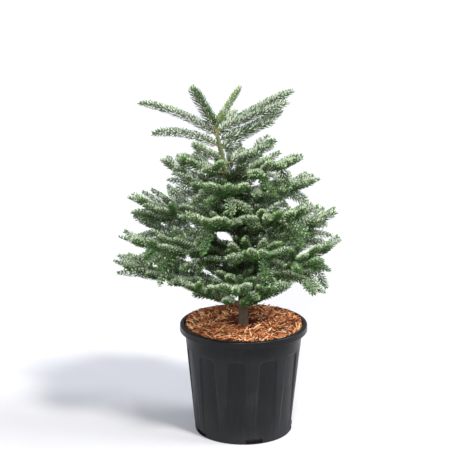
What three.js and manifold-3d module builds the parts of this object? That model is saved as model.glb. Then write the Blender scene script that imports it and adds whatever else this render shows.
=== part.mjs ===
// A young korean fir in its nursery pot: trunk, boughs, masses of needled shoots, mulch, soil and container.
// Millimetres, +Z up. The origin is the centre of the pot's flat underside, and the front faces -Y.
import * as THREE from "three";
import { mergeVertices } from "three/addons/utils/BufferGeometryUtils.js";
import Module from "manifold-3d";

const wasm = await Module();
wasm.setup();

// Clear distance between neighbouring solids.
const clearance = 0.3;

// Container.
const potHeight = 258;
const rimRadius = 148;
const mouthRadius = 138.5;
const wallTopRadius = 136;
const baseRadius = 112.5;
const wallThickness = 3;
const floorThickness = 4.5;
const rimDrop = 16;
const neckHeight = potHeight - rimDrop;
const panelBottom = 16;
const panelTop = 203;
const panelEdge = 3;
const panelRecess = 1.6;
const panelCount = 11;
const columnsPerPanel = 4;
const firstRibAzimuth = -81.5;
const drainCount = 5;
const drainAzimuth = -77.5;
const drainWidth = 39;
const drainHeight = 10;
const drainSill = 3;
const drainDepth = 30;
const rimEdge = 2;
const rimShoulder = 4;
const lipThickness = 3.2;
const lipRounding = 1.2;
const edgeRounding = 2.5;

// Filling of the container.
const soilLevel = 236;
const mulchLevel = 253.5;
const mulchMound = 6;
const mulchRelief = 1.6;
const mulchWaves = { x: 17, y: 13 };
const mulchHollowRadius = 19;
const mulchHollowSlope = 2;
const mulchRings = [0, 0.12, 0.3, 0.5, 0.7, 0.88, 1];
const fillingGap = 0.9;
const fillingSegments = 25;

// Trunk: it leans to the left by trunkLean at its fork.
const groundLevel = soilLevel + clearance;
const forkHeight = 718;
const trunkLean = 66;
const trunkLeanPower = 1.8;
const trunkSway = 5;
const uprightShare = 0.01;
const trunkFootRadius = 11.4;
const trunkForkRadius = 2.6;
const flareRadius = 5;
const flareHeight = 14;
const trunkSides = 12;
const trunkSteps = 20;

// Boughs and shoots.
const boughTipRadius = 2.4;
const boughRootRadius = 4.6;
const boughSides = 6;
const boughSteps = 3;
const bareShare = 0.36;
const limbSweep = 0.05;
const shootRadius = 6.2;
const shootSides = 3;
const shootStep = 42;
const twigRadius = 2.2;
const needleSize = { length: 15, width: 3.6, thickness: 1.4, pitch: 46, around: 62, reach: 10 };
const mainNeedleSpacing = 27;
const sideNeedleSpacing = 29;
const trunkBareLength = 20;

// Side shoots: a pair at each annual node, given as a share of the limb, and one that rises over the first.
// Rise and lift are shares of the shoot's length, and forwardBend is how far it swings round to its parent.
const annualNodes = [0.46, 0.64, 0.81];
const lateral = { angle: 47, share: 0.6, base: 15, rise: 0.12, lift: 0.1 };
const lateralSpread = { angle: 7, rise: 0.1, size: 0.14 };
const rising = { chance: 0.75, forward: 0.55, up: 0.8, aside: 0.3, share: 0.62, lift: 0.05 };
const forked = { angle: 17, share: 0.76, drops: { back: 17, front: 24 } };
const hanging = { node: 0.8, forward: 0.6, down: 0.8, length: 50, lift: -0.06 };
const forwardBend = 0.16;
const shorterShares = [1, 0.8, 0.62, 0.46];
const shortestShoot = 26;
const testedShares = [0.35, 0.6, 0.8, 1];

// Boughs of the four lower whorls: height on the trunk, azimuth from +X, reach, rise and sag of the line.
const boughs = [
  { name: "low_right", height: 300, azimuth: 10, reach: 172, rise: 86, sag: -0.05, hanging: true },
  { name: "low_back", height: 303, azimuth: 84, reach: 196, rise: 62, sag: 0.04 },
  { name: "low_left", height: 300, azimuth: 166, reach: 206, rise: 66, sag: 0.03 },
  { name: "low_front_left", height: 304, azimuth: 230, reach: 190, rise: 86, sag: 0.03 },
  { name: "low_front_right", height: 302, azimuth: 292, reach: 158, rise: 84, sag: 0.04 },
  { name: "wide_right", height: 354, azimuth: 346, reach: 226, rise: 113, sag: 0.06 },
  { name: "wide_back_right", height: 356, azimuth: 46, reach: 248, rise: 74, sag: 0.05 },
  { name: "wide_back_left", height: 350, azimuth: 124, reach: 252, rise: 66, sag: 0.05 },
  { name: "wide_left", height: 352, azimuth: 189, reach: 290, rise: 64, sag: 0.07 },
  { name: "wide_front", height: 356, azimuth: 266, reach: 232, rise: 50, sag: 0.05 },
  { name: "middle_right", height: 420, azimuth: 12, reach: 224, rise: 96, sag: 0.05 },
  { name: "middle_back", height: 424, azimuth: 84, reach: 238, rise: 72, sag: 0.05 },
  { name: "middle_back_left", height: 412, azimuth: 152, reach: 262, rise: 68, sag: 0.05 },
  { name: "middle_front_left", height: 422, azimuth: 203, reach: 284, rise: 68, sag: 0.05 },
  { name: "middle_front_right", height: 420, azimuth: 290, reach: 226, rise: 60, sag: 0.05 },
  { name: "upper_back_right", height: 490, azimuth: 40, reach: 204, rise: 84, sag: 0.05 },
  { name: "upper_back", height: 494, azimuth: 112, reach: 212, rise: 74, sag: 0.05 },
  { name: "upper_left", height: 488, azimuth: 181, reach: 240, rise: 66, sag: 0.05 },
  { name: "upper_front", height: 490, azimuth: 250, reach: 200, rise: 58, sag: 0.05 },
  { name: "upper_front_right", height: 486, azimuth: 326, reach: 206, rise: 70, sag: 0.05 },
];

// Shorter limbs, needled from the trunk: nodes is how many of the annual nodes branch, and fork the share of
// the limb after which it runs on as three shoots, two of them lower.
const shoots = [
  { name: "high_right", height: 560, azimuth: 2, reach: 200, rise: 34, sag: 0.06, nodes: 3 },
  { name: "high_back", height: 564, azimuth: 78, reach: 168, rise: 66, sag: 0.05, nodes: 2 },
  { name: "high_left", height: 560, azimuth: 176, reach: 154, rise: 78, sag: 0.04, nodes: 3 },
  { name: "high_front", height: 562, azimuth: 262, reach: 160, rise: 52, sag: 0.05, nodes: 3 },
  { name: "crest_right", height: 604, azimuth: 344, reach: 172, rise: 49, sag: 0.05, nodes: 2 },
  { name: "crest_back_right", height: 632, azimuth: 26, reach: 126, rise: 41, sag: 0.05, nodes: 2 },
  { name: "crest_back_left", height: 604, azimuth: 130, reach: 132, rise: 24, sag: 0.03, nodes: 2 },
  { name: "crest_left", height: 612, azimuth: 206, reach: 116, rise: 40, sag: 0.04, nodes: 2 },
  { name: "crest_front", height: 640, azimuth: 205, reach: 72, rise: 41, sag: 0.02 },
  { name: "top_left_low", height: 672, azimuth: 180, reach: 148, rise: 30, sag: -0.1 },
  { name: "top_right_low", height: 666, azimuth: 24, reach: 145, rise: 72, sag: 0.02 },
  { name: "top_left", height: 698, azimuth: 178, reach: 170, rise: 72, sag: -0.07 },
  { name: "top_left_steep", height: 707, azimuth: 214, reach: 62, rise: 99, sag: -0.02 },
  { name: "top_right", height: 704, azimuth: 2, reach: 165, rise: 91, sag: 0, fork: 0.2 },
  { name: "top_back", height: 698, azimuth: 70, reach: 118, rise: 34, sag: 0.02 },
];
const leader = { name: "leader", azimuth: 12, reach: 57, rise: 85, sag: 0.03 };

// A repeatable number from 0 to 1 for any list of whole numbers.
function dice(...keys) {
  let hash = 2166136261;
  for (const key of keys) {
    hash = Math.imul(hash ^ (key + 977), 16777619);
    hash ^= hash >>> 13;
  }
  hash = Math.imul(hash ^ (hash >>> 16), 2246822507);
  hash = Math.imul(hash ^ (hash >>> 13), 3266489909);
  hash ^= hash >>> 16;
  return (hash >>> 0) / 4294967296;
}

// A number spread evenly about zero, up to reach either way.
function spread(reach, ...keys) {
  return (dice(...keys) * 2 - 1) * reach;
}

// Merges a geometry's shared vertices, leaves out triangles without area and makes a solid of it.
function solidOf(geometry) {
  const bare = geometry.clone();
  bare.deleteAttribute("normal");
  bare.deleteAttribute("uv");
  const merged = mergeVertices(bare, 1e-4);
  const index = merged.index.array;
  const triangles = [];
  for (let i = 0; i < index.length; i += 3) {
    const [a, b, c] = [index[i], index[i + 1], index[i + 2]];
    if (a !== b && b !== c && c !== a) triangles.push(a, b, c);
  }
  const mesh = new wasm.Mesh({
    numProp: 3,
    vertProperties: new Float32Array(merged.attributes.position.array),
    triVerts: new Uint32Array(triangles),
  });
  return new wasm.Manifold(mesh);
}

function flipped(geometry) {
  const index = geometry.index.array;
  for (let i = 0; i < index.length; i += 3) {
    [index[i], index[i + 1]] = [index[i + 1], index[i]];
  }
  return geometry;
}

// A turned or bent geometry as a solid, whichever way round its faces came out.
function outward(geometry) {
  const solid = solidOf(geometry);
  return solid.volume() < 0 ? solidOf(flipped(geometry)) : solid;
}

function geometryOf(solid) {
  const mesh = solid.getMesh();
  const geometry = new THREE.BufferGeometry();
  geometry.setAttribute("position", new THREE.BufferAttribute(new Float32Array(mesh.vertProperties), 3));
  geometry.setIndex(new THREE.BufferAttribute(new Uint32Array(mesh.triVerts), 1));
  geometry.computeVertexNormals();
  return geometry;
}

// Keeps the largest connected body of a solid, so that no loose scrap stays.
function largestBody(solid) {
  return solid.decompose().reduce((best, body) => (body.volume() > best.volume() ? body : best));
}

// Side and upper directions square to a limb's direction.
function frameAt(tangent) {
  const up = Math.abs(tangent.z) > 0.98 ? new THREE.Vector3(0, 1, 0) : new THREE.Vector3(0, 0, 1);
  const side = new THREE.Vector3().crossVectors(tangent, up).normalize();
  return { side, upper: new THREE.Vector3().crossVectors(side, tangent) };
}

function tangentOf(path, t) {
  const step = 0.004;
  return path(Math.min(t + step, 1 + step)).sub(path(t - step)).normalize();
}

// A limb: a closed cylinder carried along a path from t0 to t1, with its radius a function of t and angle.
function limb(path, radius, sides, steps, t0 = 0, t1 = 1) {
  const geometry = new THREE.CylinderGeometry(1, 1, 1, sides, steps);
  const position = geometry.attributes.position;
  const stations = Array.from({ length: steps + 1 }, (_, i) => {
    const t = t0 + ((t1 - t0) * i) / steps;
    return { t, centre: path(t), ...frameAt(tangentOf(path, t)) };
  });
  for (let i = 0; i < position.count; i += 1) {
    const [x, y, z] = [position.getX(i), position.getY(i), position.getZ(i)];
    const station = stations[Math.round((y + 0.5) * steps)];
    const angle = Math.atan2(x, z);
    const size = Math.hypot(x, z) * radius(station.t, angle);
    const point = station.centre.clone();
    point.addScaledVector(station.side, size * Math.sin(angle));
    point.addScaledVector(station.upper, size * Math.cos(angle));
    position.setXYZ(i, point.x, point.y, point.z);
  }
  return outward(geometry);
}

// Trunk axis: a lean that grows with height, with a slight sway in depth.
function trunkShare(height) {
  return THREE.MathUtils.clamp((height - groundLevel) / (forkHeight - groundLevel), 0, 1);
}

function trunkPoint(t) {
  const share = Math.max(t - uprightShare, 0) / (1 - uprightShare);
  const x = -trunkLean * share ** trunkLeanPower;
  const y = trunkSway * Math.sin(Math.PI * share) ** 2;
  return new THREE.Vector3(x, y, groundLevel + (forkHeight - groundLevel) * t);
}

function trunkRadius(t, angle = 0) {
  const above = Math.max(t, 0) * (forkHeight - groundLevel);
  const flare = flareRadius * Math.exp(-above / flareHeight) * (1 + 0.25 * Math.cos(3 * angle));
  return trunkForkRadius + (trunkFootRadius - trunkForkRadius) * Math.max(1 - t, 0) ** 0.85 + flare;
}

function pointsAlong(path, steps) {
  return Array.from({ length: steps + 1 }, (_, i) => path(i / steps));
}

// Line of a limb: straight out and up from the trunk's axis to its tip, sagging under the chord.
function limbLine(spec, index) {
  const azimuth = THREE.MathUtils.degToRad(spec.azimuth);
  const out = new THREE.Vector3(Math.cos(azimuth), Math.sin(azimuth), 0);
  const across = new THREE.Vector3(-out.y, out.x, 0);
  const root = spec.height === undefined ? trunkPoint(1) : trunkPoint(trunkShare(spec.height));
  const sweep = spread(limbSweep, index, 0) * spec.reach;
  const length = Math.hypot(spec.reach, spec.rise);
  const point = (t) => {
    const bow = 4 * t * (1 - t);
    const place = root.clone().addScaledVector(out, spec.reach * t).addScaledVector(across, sweep * bow);
    place.z += spec.rise * t - spec.sag * spec.reach * bow;
    return place;
  };
  return { nodes: 0, ...spec, index, length, point, samples: pointsAlong(point, 24) };
}

const boughLines = boughs.map((spec, i) => limbLine({ ...spec, nodes: 3, bare: bareShare }, i));
const shootLines = shoots.map((spec, i) => limbLine({ ...spec, bare: 0 }, boughs.length + i));
const leaderLine = limbLine({ ...leader, bare: 0 }, boughs.length + shoots.length);
const limbLines = [...boughLines, ...shootLines, leaderLine];
const trunkSamples = pointsAlong(trunkPoint, 48);

function distanceTo(samples, place) {
  const segment = new THREE.Line3();
  const nearest = new THREE.Vector3();
  let least = Infinity;
  for (let i = 0; i + 1 < samples.length; i += 1) {
    segment.set(samples[i], samples[i + 1]).closestPointToPoint(place, true, nearest);
    least = Math.min(least, nearest.distanceTo(place));
  }
  return least;
}

// A mass's space is all that lies nearer to its own limb line than to any other limb or the trunk.
function staysInSpace(line, place) {
  const room = distanceTo(line.samples, place) + 2 * needleSize.reach + clearance;
  if (distanceTo(trunkSamples, place) < room) return false;
  return limbLines.every((other) => other === line || distanceTo(other.samples, place) >= room);
}

// Path of a side shoot: it leaves at an angle and bends forward and upward with its parent.
function shootPath(root, direction, forward, length, lift) {
  return (t) => {
    const place = root.clone().addScaledVector(direction, length * t);
    place.addScaledVector(forward, forwardBend * length * t * t);
    place.z += lift * length * t * t;
    return place;
  };
}

// The same shoot at its full length, or shorter as far as its space asks; none where even that is too long.
function fittedShoot(line, root, direction, forward, length, lift) {
  for (const share of shorterShares) {
    const path = shootPath(root, direction, forward, length * share, lift);
    const clear = testedShares.every((t) => staysInSpace(line, path(t)));
    if (length * share >= shortestShoot && clear) return { path, length: length * share };
  }
  return null;
}

function turnedAside(forward, side, degrees) {
  const turn = THREE.MathUtils.degToRad(degrees);
  return forward.clone().multiplyScalar(Math.cos(turn)).addScaledVector(side, Math.sin(turn));
}

// The pair of side shoots at a node, one to each hand.
function lateralPair(line, share, node) {
  const forward = tangentOf(line.point, share);
  const { side, upper } = frameAt(forward);
  const length = lateral.share * (1 - share) * line.length + lateral.base;
  return [-1, 1].map((hand) => {
    const angle = lateral.angle + spread(lateralSpread.angle, line.index, node, hand, 1);
    const direction = turnedAside(forward, side, hand * angle);
    direction.addScaledVector(upper, lateral.rise + spread(lateralSpread.rise, line.index, node, hand, 2));
    const size = length * (1 + spread(lateralSpread.size, line.index, node, hand, 3));
    return fittedShoot(line, line.point(share), direction.normalize(), forward, size, lateral.lift);
  });
}

// The shoot that stands up from a limb at a node; some limbs have none.
function risingShoot(line, share, node) {
  if (dice(line.index, node, 0, 1) > rising.chance) return null;
  const forward = tangentOf(line.point, share);
  const { side, upper } = frameAt(forward);
  const direction = forward.clone().multiplyScalar(rising.forward).addScaledVector(upper, rising.up);
  direction.addScaledVector(side, spread(rising.aside, line.index, node, 0, 2)).normalize();
  const length = rising.share * (lateral.share * (1 - share) * line.length + lateral.base);
  return fittedShoot(line, line.point(share), direction, forward, length, rising.lift);
}

// Two shoots that run on under the limb's own end from its fork, one dropped a little and one more.
function forkPair(line) {
  const forward = tangentOf(line.point, line.fork);
  const { side, upper } = frameAt(forward);
  const length = (1 - line.fork) * line.length * forked.share;
  const pair = [
    [-1, forked.drops.back],
    [1, forked.drops.front],
  ];
  return pair.map(([hand, degrees]) => {
    const away = turnedAside(side.clone().multiplyScalar(hand), upper, -degrees);
    const direction = turnedAside(forward, away, forked.angle);
    return fittedShoot(line, line.point(line.fork), direction, forward, length, 0);
  });
}

function hangingShoot(line) {
  const forward = tangentOf(line.point, hanging.node);
  const direction = forward.clone().multiplyScalar(hanging.forward);
  direction.z -= hanging.down;
  direction.normalize();
  return fittedShoot(line, line.point(hanging.node), direction, forward, hanging.length, hanging.lift);
}

function sideShoots(line) {
  const shares = annualNodes.slice(annualNodes.length - line.nodes);
  const found = shares.flatMap((share, node) => lateralPair(line, share, node));
  if (line.nodes) found.push(risingShoot(line, shares[0], 0));
  if (line.fork) found.push(...forkPair(line));
  if (line.hanging) found.push(hangingShoot(line));
  return found.filter(Boolean);
}

// One needle: a flat three-sided cone that leans forward out of the core at the given angle round it.
function needle(centre, tangent, around) {
  const { side, upper } = frameAt(tangent);
  const pitch = THREE.MathUtils.degToRad(needleSize.pitch);
  const away = side.clone().multiplyScalar(Math.sin(around)).addScaledVector(upper, Math.cos(around));
  const along = away.clone().multiplyScalar(Math.sin(pitch)).addScaledVector(tangent, Math.cos(pitch));
  const wide = new THREE.Vector3().crossVectors(tangent, away).normalize();
  const thick = new THREE.Vector3().crossVectors(wide, along);
  const cone = new THREE.ConeGeometry(1, needleSize.length, 3, 1);
  cone.scale(needleSize.width / 2, 1, needleSize.thickness / 2);
  cone.translate(0, needleSize.length / 2, 0);
  cone.applyMatrix4(new THREE.Matrix4().makeBasis(wide, along, thick));
  cone.translate(centre.x, centre.y, centre.z);
  return solidOf(cone);
}

// A needled shoot: a slim three-sided core that needles stand out of, up to the left and right in turn.
function needledShoot(path, length, t0, rootRadius, spacing, bareLength = 0) {
  const steps = Math.max(2, Math.round(((1 - t0) * length) / shootStep));
  const radius = (t) => {
    const share = (t - t0) / (1 - t0);
    if (share > 0.999) return 0;
    return share < 0.001 ? rootRadius : shootRadius * (1.08 - 0.5 * share * share);
  };
  let solid = limb(path, radius, shootSides, steps, t0, 1);
  const first = t0 + bareLength / length;
  const count = Math.max(2, Math.round(((1 - first) * length) / spacing));
  const around = THREE.MathUtils.degToRad(needleSize.around);
  for (let i = 0; i < count; i += 1) {
    const t = first + ((1 - first) * (i + 0.55)) / (count + 0.35);
    solid = solid.add(needle(path(t), tangentOf(path, t), i % 2 ? around : -around));
  }
  return solid;
}

// The trunk with the clearance added all round, which cuts the root end of every limb that springs from it.
const sleeveEnd = 1 + clearance / (forkHeight - groundLevel);
const sleeveRadius = (t, angle) => trunkRadius(t, angle) + clearance;
const sleeve = limb(trunkPoint, sleeveRadius, trunkSides, trunkSteps, 0, sleeveEnd);

// The foliage of one limb, from where its bare part ends; it is cut clear of the trunk.
function foliage(line) {
  const start = line.bare + (line.bare > 0 ? clearance / line.length : 0);
  const rootRadius = line.bare > 0 ? boughTipRadius : twigRadius;
  const bareLength = line.bare > 0 ? 0 : trunkBareLength;
  let solid = needledShoot(line.point, line.length, start, rootRadius, mainNeedleSpacing, bareLength);
  for (const shoot of sideShoots(line)) {
    solid = solid.add(needledShoot(shoot.path, shoot.length, 0, twigRadius, sideNeedleSpacing));
  }
  return largestBody(line.bare > 0 ? solid : solid.subtract(sleeve));
}

// The bare part of a bough, from the trunk's side to the end that its foliage meets.
function boughSolid(line) {
  const radius = (t) => boughTipRadius + (boughRootRadius - boughTipRadius) * (1 - t / line.bare);
  return largestBody(limb(line.point, radius, boughSides, boughSteps, 0, line.bare).subtract(sleeve));
}

function leaderSolid() {
  const { point, length } = leaderLine;
  const solid = needledShoot(point, length, 0, trunkForkRadius, sideNeedleSpacing, trunkBareLength);
  return largestBody(solid.subtract(sleeve));
}

// Wall radius of the container at a height, up to its neck under the rim.
function wallRadius(height) {
  return baseRadius + ((wallTopRadius - baseRadius) * height) / neckHeight;
}

// Container: one turned shell with a folded rim, recessed panels between ribs and drain openings.
function potSolid() {
  const profile = [
    [0, 0],
    [baseRadius - edgeRounding, 0],
    [baseRadius, edgeRounding],
    [wallRadius(panelBottom - panelEdge), panelBottom - panelEdge],
    [wallRadius(panelBottom), panelBottom],
    [wallRadius(panelTop), panelTop],
    [wallRadius(panelTop + panelEdge), panelTop + panelEdge],
    [wallTopRadius, neckHeight],
    [mouthRadius + wallThickness, potHeight - lipThickness],
    [rimRadius - lipThickness, potHeight - lipThickness],
    [rimRadius - lipThickness, neckHeight],
    [rimRadius, neckHeight],
    [rimRadius, potHeight - rimShoulder],
    [rimRadius - edgeRounding, potHeight],
    [mouthRadius + lipRounding, potHeight],
    [mouthRadius, potHeight - rimEdge],
    [wallTopRadius - wallThickness, neckHeight],
    [wallRadius(floorThickness) - wallThickness, floorThickness],
    [0, floorThickness],
  ];
  const panelRows = [4, 5];
  const geometry = turned(profile, panelCount * columnsPerPanel);
  const position = geometry.attributes.position;
  for (let i = 0; i < position.count; i += 1) {
    const column = Math.floor(i / profile.length) % columnsPerPanel;
    const row = i % profile.length;
    if (column === 0 || !panelRows.includes(row)) continue;
    const share = 1 - panelRecess / profile[row][0];
    position.setX(i, position.getX(i) * share);
    position.setY(i, position.getY(i) * share);
  }
  let shell = outward(geometry);
  for (let i = 0; i < drainCount; i += 1) {
    const azimuth = THREE.MathUtils.degToRad(drainAzimuth + (360 * i) / drainCount);
    const slot = new THREE.BoxGeometry(drainDepth, drainWidth, drainHeight);
    slot.translate(baseRadius, 0, drainSill + drainHeight / 2);
    slot.rotateZ(azimuth);
    shell = shell.subtract(solidOf(slot));
  }
  return shell;
}

// Radius of what fills the container at a height: just inside its wall, which opens out at the rim.
function innerRadius(height) {
  const flare = ((mouthRadius - wallTopRadius + wallThickness) * (height - neckHeight)) / (rimDrop - rimEdge);
  const wall = height < neckHeight ? wallRadius(height) : wallTopRadius + flare;
  return wall - wallThickness - fillingGap;
}

// A profile of radius and height turned about the upright axis, with its first column at the first rib.
function turned(profile, segments) {
  const points = profile.map(([radius, height]) => new THREE.Vector2(radius, height));
  const geometry = new THREE.LatheGeometry(points, segments);
  geometry.rotateX(Math.PI / 2);
  geometry.rotateZ(THREE.MathUtils.degToRad(firstRibAzimuth - 270));
  return geometry;
}

function soilSolid() {
  const bottom = floorThickness + clearance;
  const profile = [
    [0, bottom],
    [innerRadius(bottom), bottom],
    [innerRadius(soilLevel), soilLevel],
    [0, soilLevel],
  ];
  return outward(turned(profile, fillingSegments));
}

// Mulch: a ring round the trunk's foot, heaped between the hollow at the trunk and the rim.
function mulchSolid() {
  const bottom = soilLevel + clearance;
  const edge = innerRadius(mulchLevel);
  const top = mulchRings.map((share) => {
    const radius = THREE.MathUtils.lerp(mulchHollowRadius + mulchHollowSlope, edge, share);
    return [radius, mulchLevel + mulchMound * Math.sin(Math.PI * share) ** 0.7];
  });
  const side = [bottom, neckHeight].map((height) => [innerRadius(height), height]);
  const profile = [[mulchHollowRadius, bottom], ...side, ...top.reverse()];
  profile.push(profile[0]);
  const geometry = turned(profile, fillingSegments);
  const position = geometry.attributes.position;
  for (let i = 0; i < position.count; i += 1) {
    const [x, y, z] = [position.getX(i), position.getY(i), position.getZ(i)];
    if (z < mulchLevel + 1) continue;
    position.setZ(i, z + mulchRelief * Math.sin(x / mulchWaves.x) * Math.cos(y / mulchWaves.y));
  }
  return outward(geometry);
}

function trunkSolid() {
  return limb(trunkPoint, trunkRadius, trunkSides, trunkSteps);
}

const materials = {
  pot: new THREE.MeshStandardMaterial({ color: "#26272a", roughness: 0.5, metalness: 0 }),
  soil: new THREE.MeshStandardMaterial({ color: "#2b2019", roughness: 0.95, metalness: 0 }),
  mulch: new THREE.MeshStandardMaterial({ color: "#a4582b", roughness: 0.9, metalness: 0 }),
  bark: new THREE.MeshStandardMaterial({ color: "#7a6248", roughness: 0.85, metalness: 0 }),
  bough: new THREE.MeshStandardMaterial({ color: "#8a7150", roughness: 0.8, metalness: 0 }),
  needles: new THREE.MeshStandardMaterial({ color: "#4f7a4c", roughness: 0.6, metalness: 0 }),
};

const fir = new THREE.Group();

function place(name, solid, material) {
  const mesh = new THREE.Mesh(geometryOf(solid), material.clone());
  mesh.name = name;
  fir.add(mesh);
}

place("pot", potSolid(), materials.pot);
place("growing_soil", soilSolid(), materials.soil);
place("bark_mulch", mulchSolid(), materials.mulch);
place("trunk", trunkSolid(), materials.bark);
for (const line of boughLines) {
  place(`bough_${line.name}`, boughSolid(line), materials.bough);
}
for (const line of [...boughLines, ...shootLines]) {
  place(`foliage_${line.name}`, foliage(line), materials.needles);
}
place("foliage_leader", leaderSolid(), materials.needles);

export default fir;
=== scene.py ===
# A young korean fir in its nursery pot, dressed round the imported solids. Metres, +Z up, front towards -Y.
import math

import bpy
import numpy as np
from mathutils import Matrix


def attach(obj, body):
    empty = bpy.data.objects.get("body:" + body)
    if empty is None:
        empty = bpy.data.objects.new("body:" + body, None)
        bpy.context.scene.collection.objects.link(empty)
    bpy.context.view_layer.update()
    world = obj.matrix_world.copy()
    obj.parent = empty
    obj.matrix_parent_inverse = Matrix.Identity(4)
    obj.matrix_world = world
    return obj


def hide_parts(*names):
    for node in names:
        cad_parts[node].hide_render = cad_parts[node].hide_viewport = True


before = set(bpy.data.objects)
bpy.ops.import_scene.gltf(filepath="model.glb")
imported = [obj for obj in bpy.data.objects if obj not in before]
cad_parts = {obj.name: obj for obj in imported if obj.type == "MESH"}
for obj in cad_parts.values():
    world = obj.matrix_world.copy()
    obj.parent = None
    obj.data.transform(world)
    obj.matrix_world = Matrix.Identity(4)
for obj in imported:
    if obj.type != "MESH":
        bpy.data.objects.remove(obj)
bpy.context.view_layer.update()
print("frame loaded:", len(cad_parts), "nodes")

millimetre = 0.001
fullTurn = 2 * np.pi
goldenAngle = 137.5
upward = np.array([0.0, 0.0, 1.0])


# View: the camera stands in front, a little left of the pot's axis, and looks down at the plant.
view = {"place": (-0.043, -3.34, 1.345), "down": 14.35, "lens": 121.0, "sensor": 36.0}


def placeCamera():
    data = bpy.data.cameras.new("camera")
    data.lens, data.sensor_width = view["lens"], view["sensor"]
    camera = bpy.data.objects.new("camera", data)
    camera.location = view["place"]
    camera.rotation_euler = (math.radians(90 - view["down"]), 0, 0)
    bpy.context.scene.collection.objects.link(camera)
    bpy.context.scene.camera = camera


placeCamera()


# Finishes. A Value wraps a socket, so that sums on it read as plain arithmetic and add their Math nodes.
def addNode(tree, kind, values, settings=None, output=0):  # settings first, then each socket's value or link
    made = tree.nodes.new(kind)
    for name, setting in (settings or {}).items():
        setattr(made, name, setting)
    for socket, value in values.items():
        if isinstance(value, Value):
            tree.links.new(value.socket, made.inputs[socket])
        else:
            made.inputs[socket].default_value = value
    return Value(tree, made.outputs[output])


class Value:
    def __init__(self, tree, socket):
        self.tree, self.socket = tree, socket

    def maths(self, operation, first, second):
        return addNode(self.tree, "ShaderNodeMath", {0: first, 1: second}, {"operation": operation})

    def between(self, low, high):  # 0 below low, 1 above high, a smooth step from one to the other
        values = {"Value": self, "From Min": low, "From Max": high}
        settings = {"interpolation_type": "SMOOTHSTEP"}
        return addNode(self.tree, "ShaderNodeMapRange", values, settings, "Result")


# The operators that are used, each with its reflected form, in which the terms change places.
for word, operation in {"add": "ADD", "sub": "SUBTRACT", "mul": "MULTIPLY", "pow": "POWER"}.items():
    setattr(Value, f"__{word}__", lambda self, other, kind=operation: self.maths(kind, self, other))
    setattr(Value, f"__r{word}__", lambda self, other, kind=operation: self.maths(kind, other, self))


def colour(code):  # a six-digit colour as linear light
    parts = [int(code[place : place + 2], 16) / 255 for place in (0, 2, 4)]
    return (*[part / 12.92 if part < 0.04045 else ((part + 0.055) / 1.055) ** 2.4 for part in parts], 1.0)


class Finish:
    def __init__(self, name, **constants):
        self.material = bpy.data.materials.new(name)
        self.material.use_nodes = True
        self.tree = self.material.node_tree
        self.shader = self.tree.nodes["Principled BSDF"]
        for socket, value in constants.items():
            self.shader.inputs[socket.replace("_", " ")].default_value = value

    def place(self, scale=(1, 1, 1)):  # where a point lies on the piece, in metres
        spot = addNode(self.tree, "ShaderNodeTexCoord", {}, output="Object")
        return addNode(self.tree, "ShaderNodeMapping", {"Vector": spot, "Scale": scale})

    def part(self, where, axis):  # one of the three numbers of a place
        return addNode(self.tree, "ShaderNodeSeparateXYZ", {"Vector": where}, output=axis)

    def noise(self, where, scale, detail, rough):
        values = {"Vector": where, "Scale": scale, "Detail": detail, "Roughness": rough}
        return addNode(self.tree, "ShaderNodeTexNoise", values)

    def mix(self, share, first, second):  # first where share is 0, second where it is 1
        values = {0: share, 6: first, 7: second}
        return addNode(self.tree, "ShaderNodeMix", values, {"data_type": "RGBA"}, 2)

    def feed(self, socket, value):
        self.tree.links.new(value.socket, self.shader.inputs[socket])

    def bump(self, height, distance, strength):
        values = {"Height": height, "Distance": distance, "Strength": strength}
        self.feed("Normal", addNode(self.tree, "ShaderNodeBump", values))


def paint(name, code, roughness, specular=0.5):  # one plain colour all over
    return Finish(name, Base_Color=colour(code), Roughness=roughness, Specular_IOR_Level=specular)


# Meshes from arrays of points in millimetres.
def addMesh(name, points, faces, finishes, finishOf=None, smooth=True):
    corners = np.concatenate([group.ravel() for group in faces]).astype(np.int32)
    sizes = np.concatenate([np.full(len(group), group.shape[1]) for group in faces])
    starts = np.concatenate([[0], np.cumsum(sizes)[:-1]]).astype(np.int32)
    mesh = bpy.data.meshes.new(name)
    mesh.vertices.add(len(points))
    mesh.vertices.foreach_set("co", (points * millimetre).astype(np.float32).ravel())
    mesh.loops.add(len(corners))
    mesh.loops.foreach_set("vertex_index", corners)
    mesh.polygons.add(len(starts))
    mesh.polygons.foreach_set("loop_start", starts)
    mesh.polygons.foreach_set("use_smooth", np.full(len(starts), smooth))
    for finish in finishes:
        mesh.materials.append(finish.material)
    if finishOf is not None:
        mesh.polygons.foreach_set("material_index", finishOf.astype(np.int32))
    mesh.update(calc_edges=True)
    piece = bpy.data.objects.new(name, mesh)
    bpy.context.scene.collection.objects.link(piece)
    return piece


def settle(piece, nodes=()):
    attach(piece, "root")
    if nodes:
        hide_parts(*nodes)


# Equal tubes (tubes, rows, columns, 3) as one mesh, with quads between rings and a fan to a pole at each end.
def joinTubes(rings):
    tubes, rows, columns = rings.shape[:3]
    row, column = np.meshgrid(np.arange(rows - 1), np.arange(columns), indexing="ij")
    after, base, above = (column + 1) % columns, row * columns, (row + 1) * columns
    quads = np.stack([base + column, base + after, above + after, above + column], -1).reshape(-1, 4)
    ring = np.arange(columns)
    turn, last, low = (ring + 1) % columns, (rows - 1) * columns, np.full(columns, rows * columns)
    foot = np.stack([turn, ring, low], -1)
    head = np.stack([last + ring, last + turn, low + 1], -1)
    points = np.concatenate([rings.reshape(tubes, -1, 3), rings[:, [0, -1]].mean(2)], 1)
    step = (np.arange(tubes) * points.shape[1])[:, None, None]
    faces = [(group + step).reshape(-1, group.shape[1]) for group in (quads, np.concatenate([foot, head]))]
    return points.reshape(-1, 3), faces


def ringAngles(columns):
    return np.linspace(0, fullTurn, columns, endpoint=False)


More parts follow.
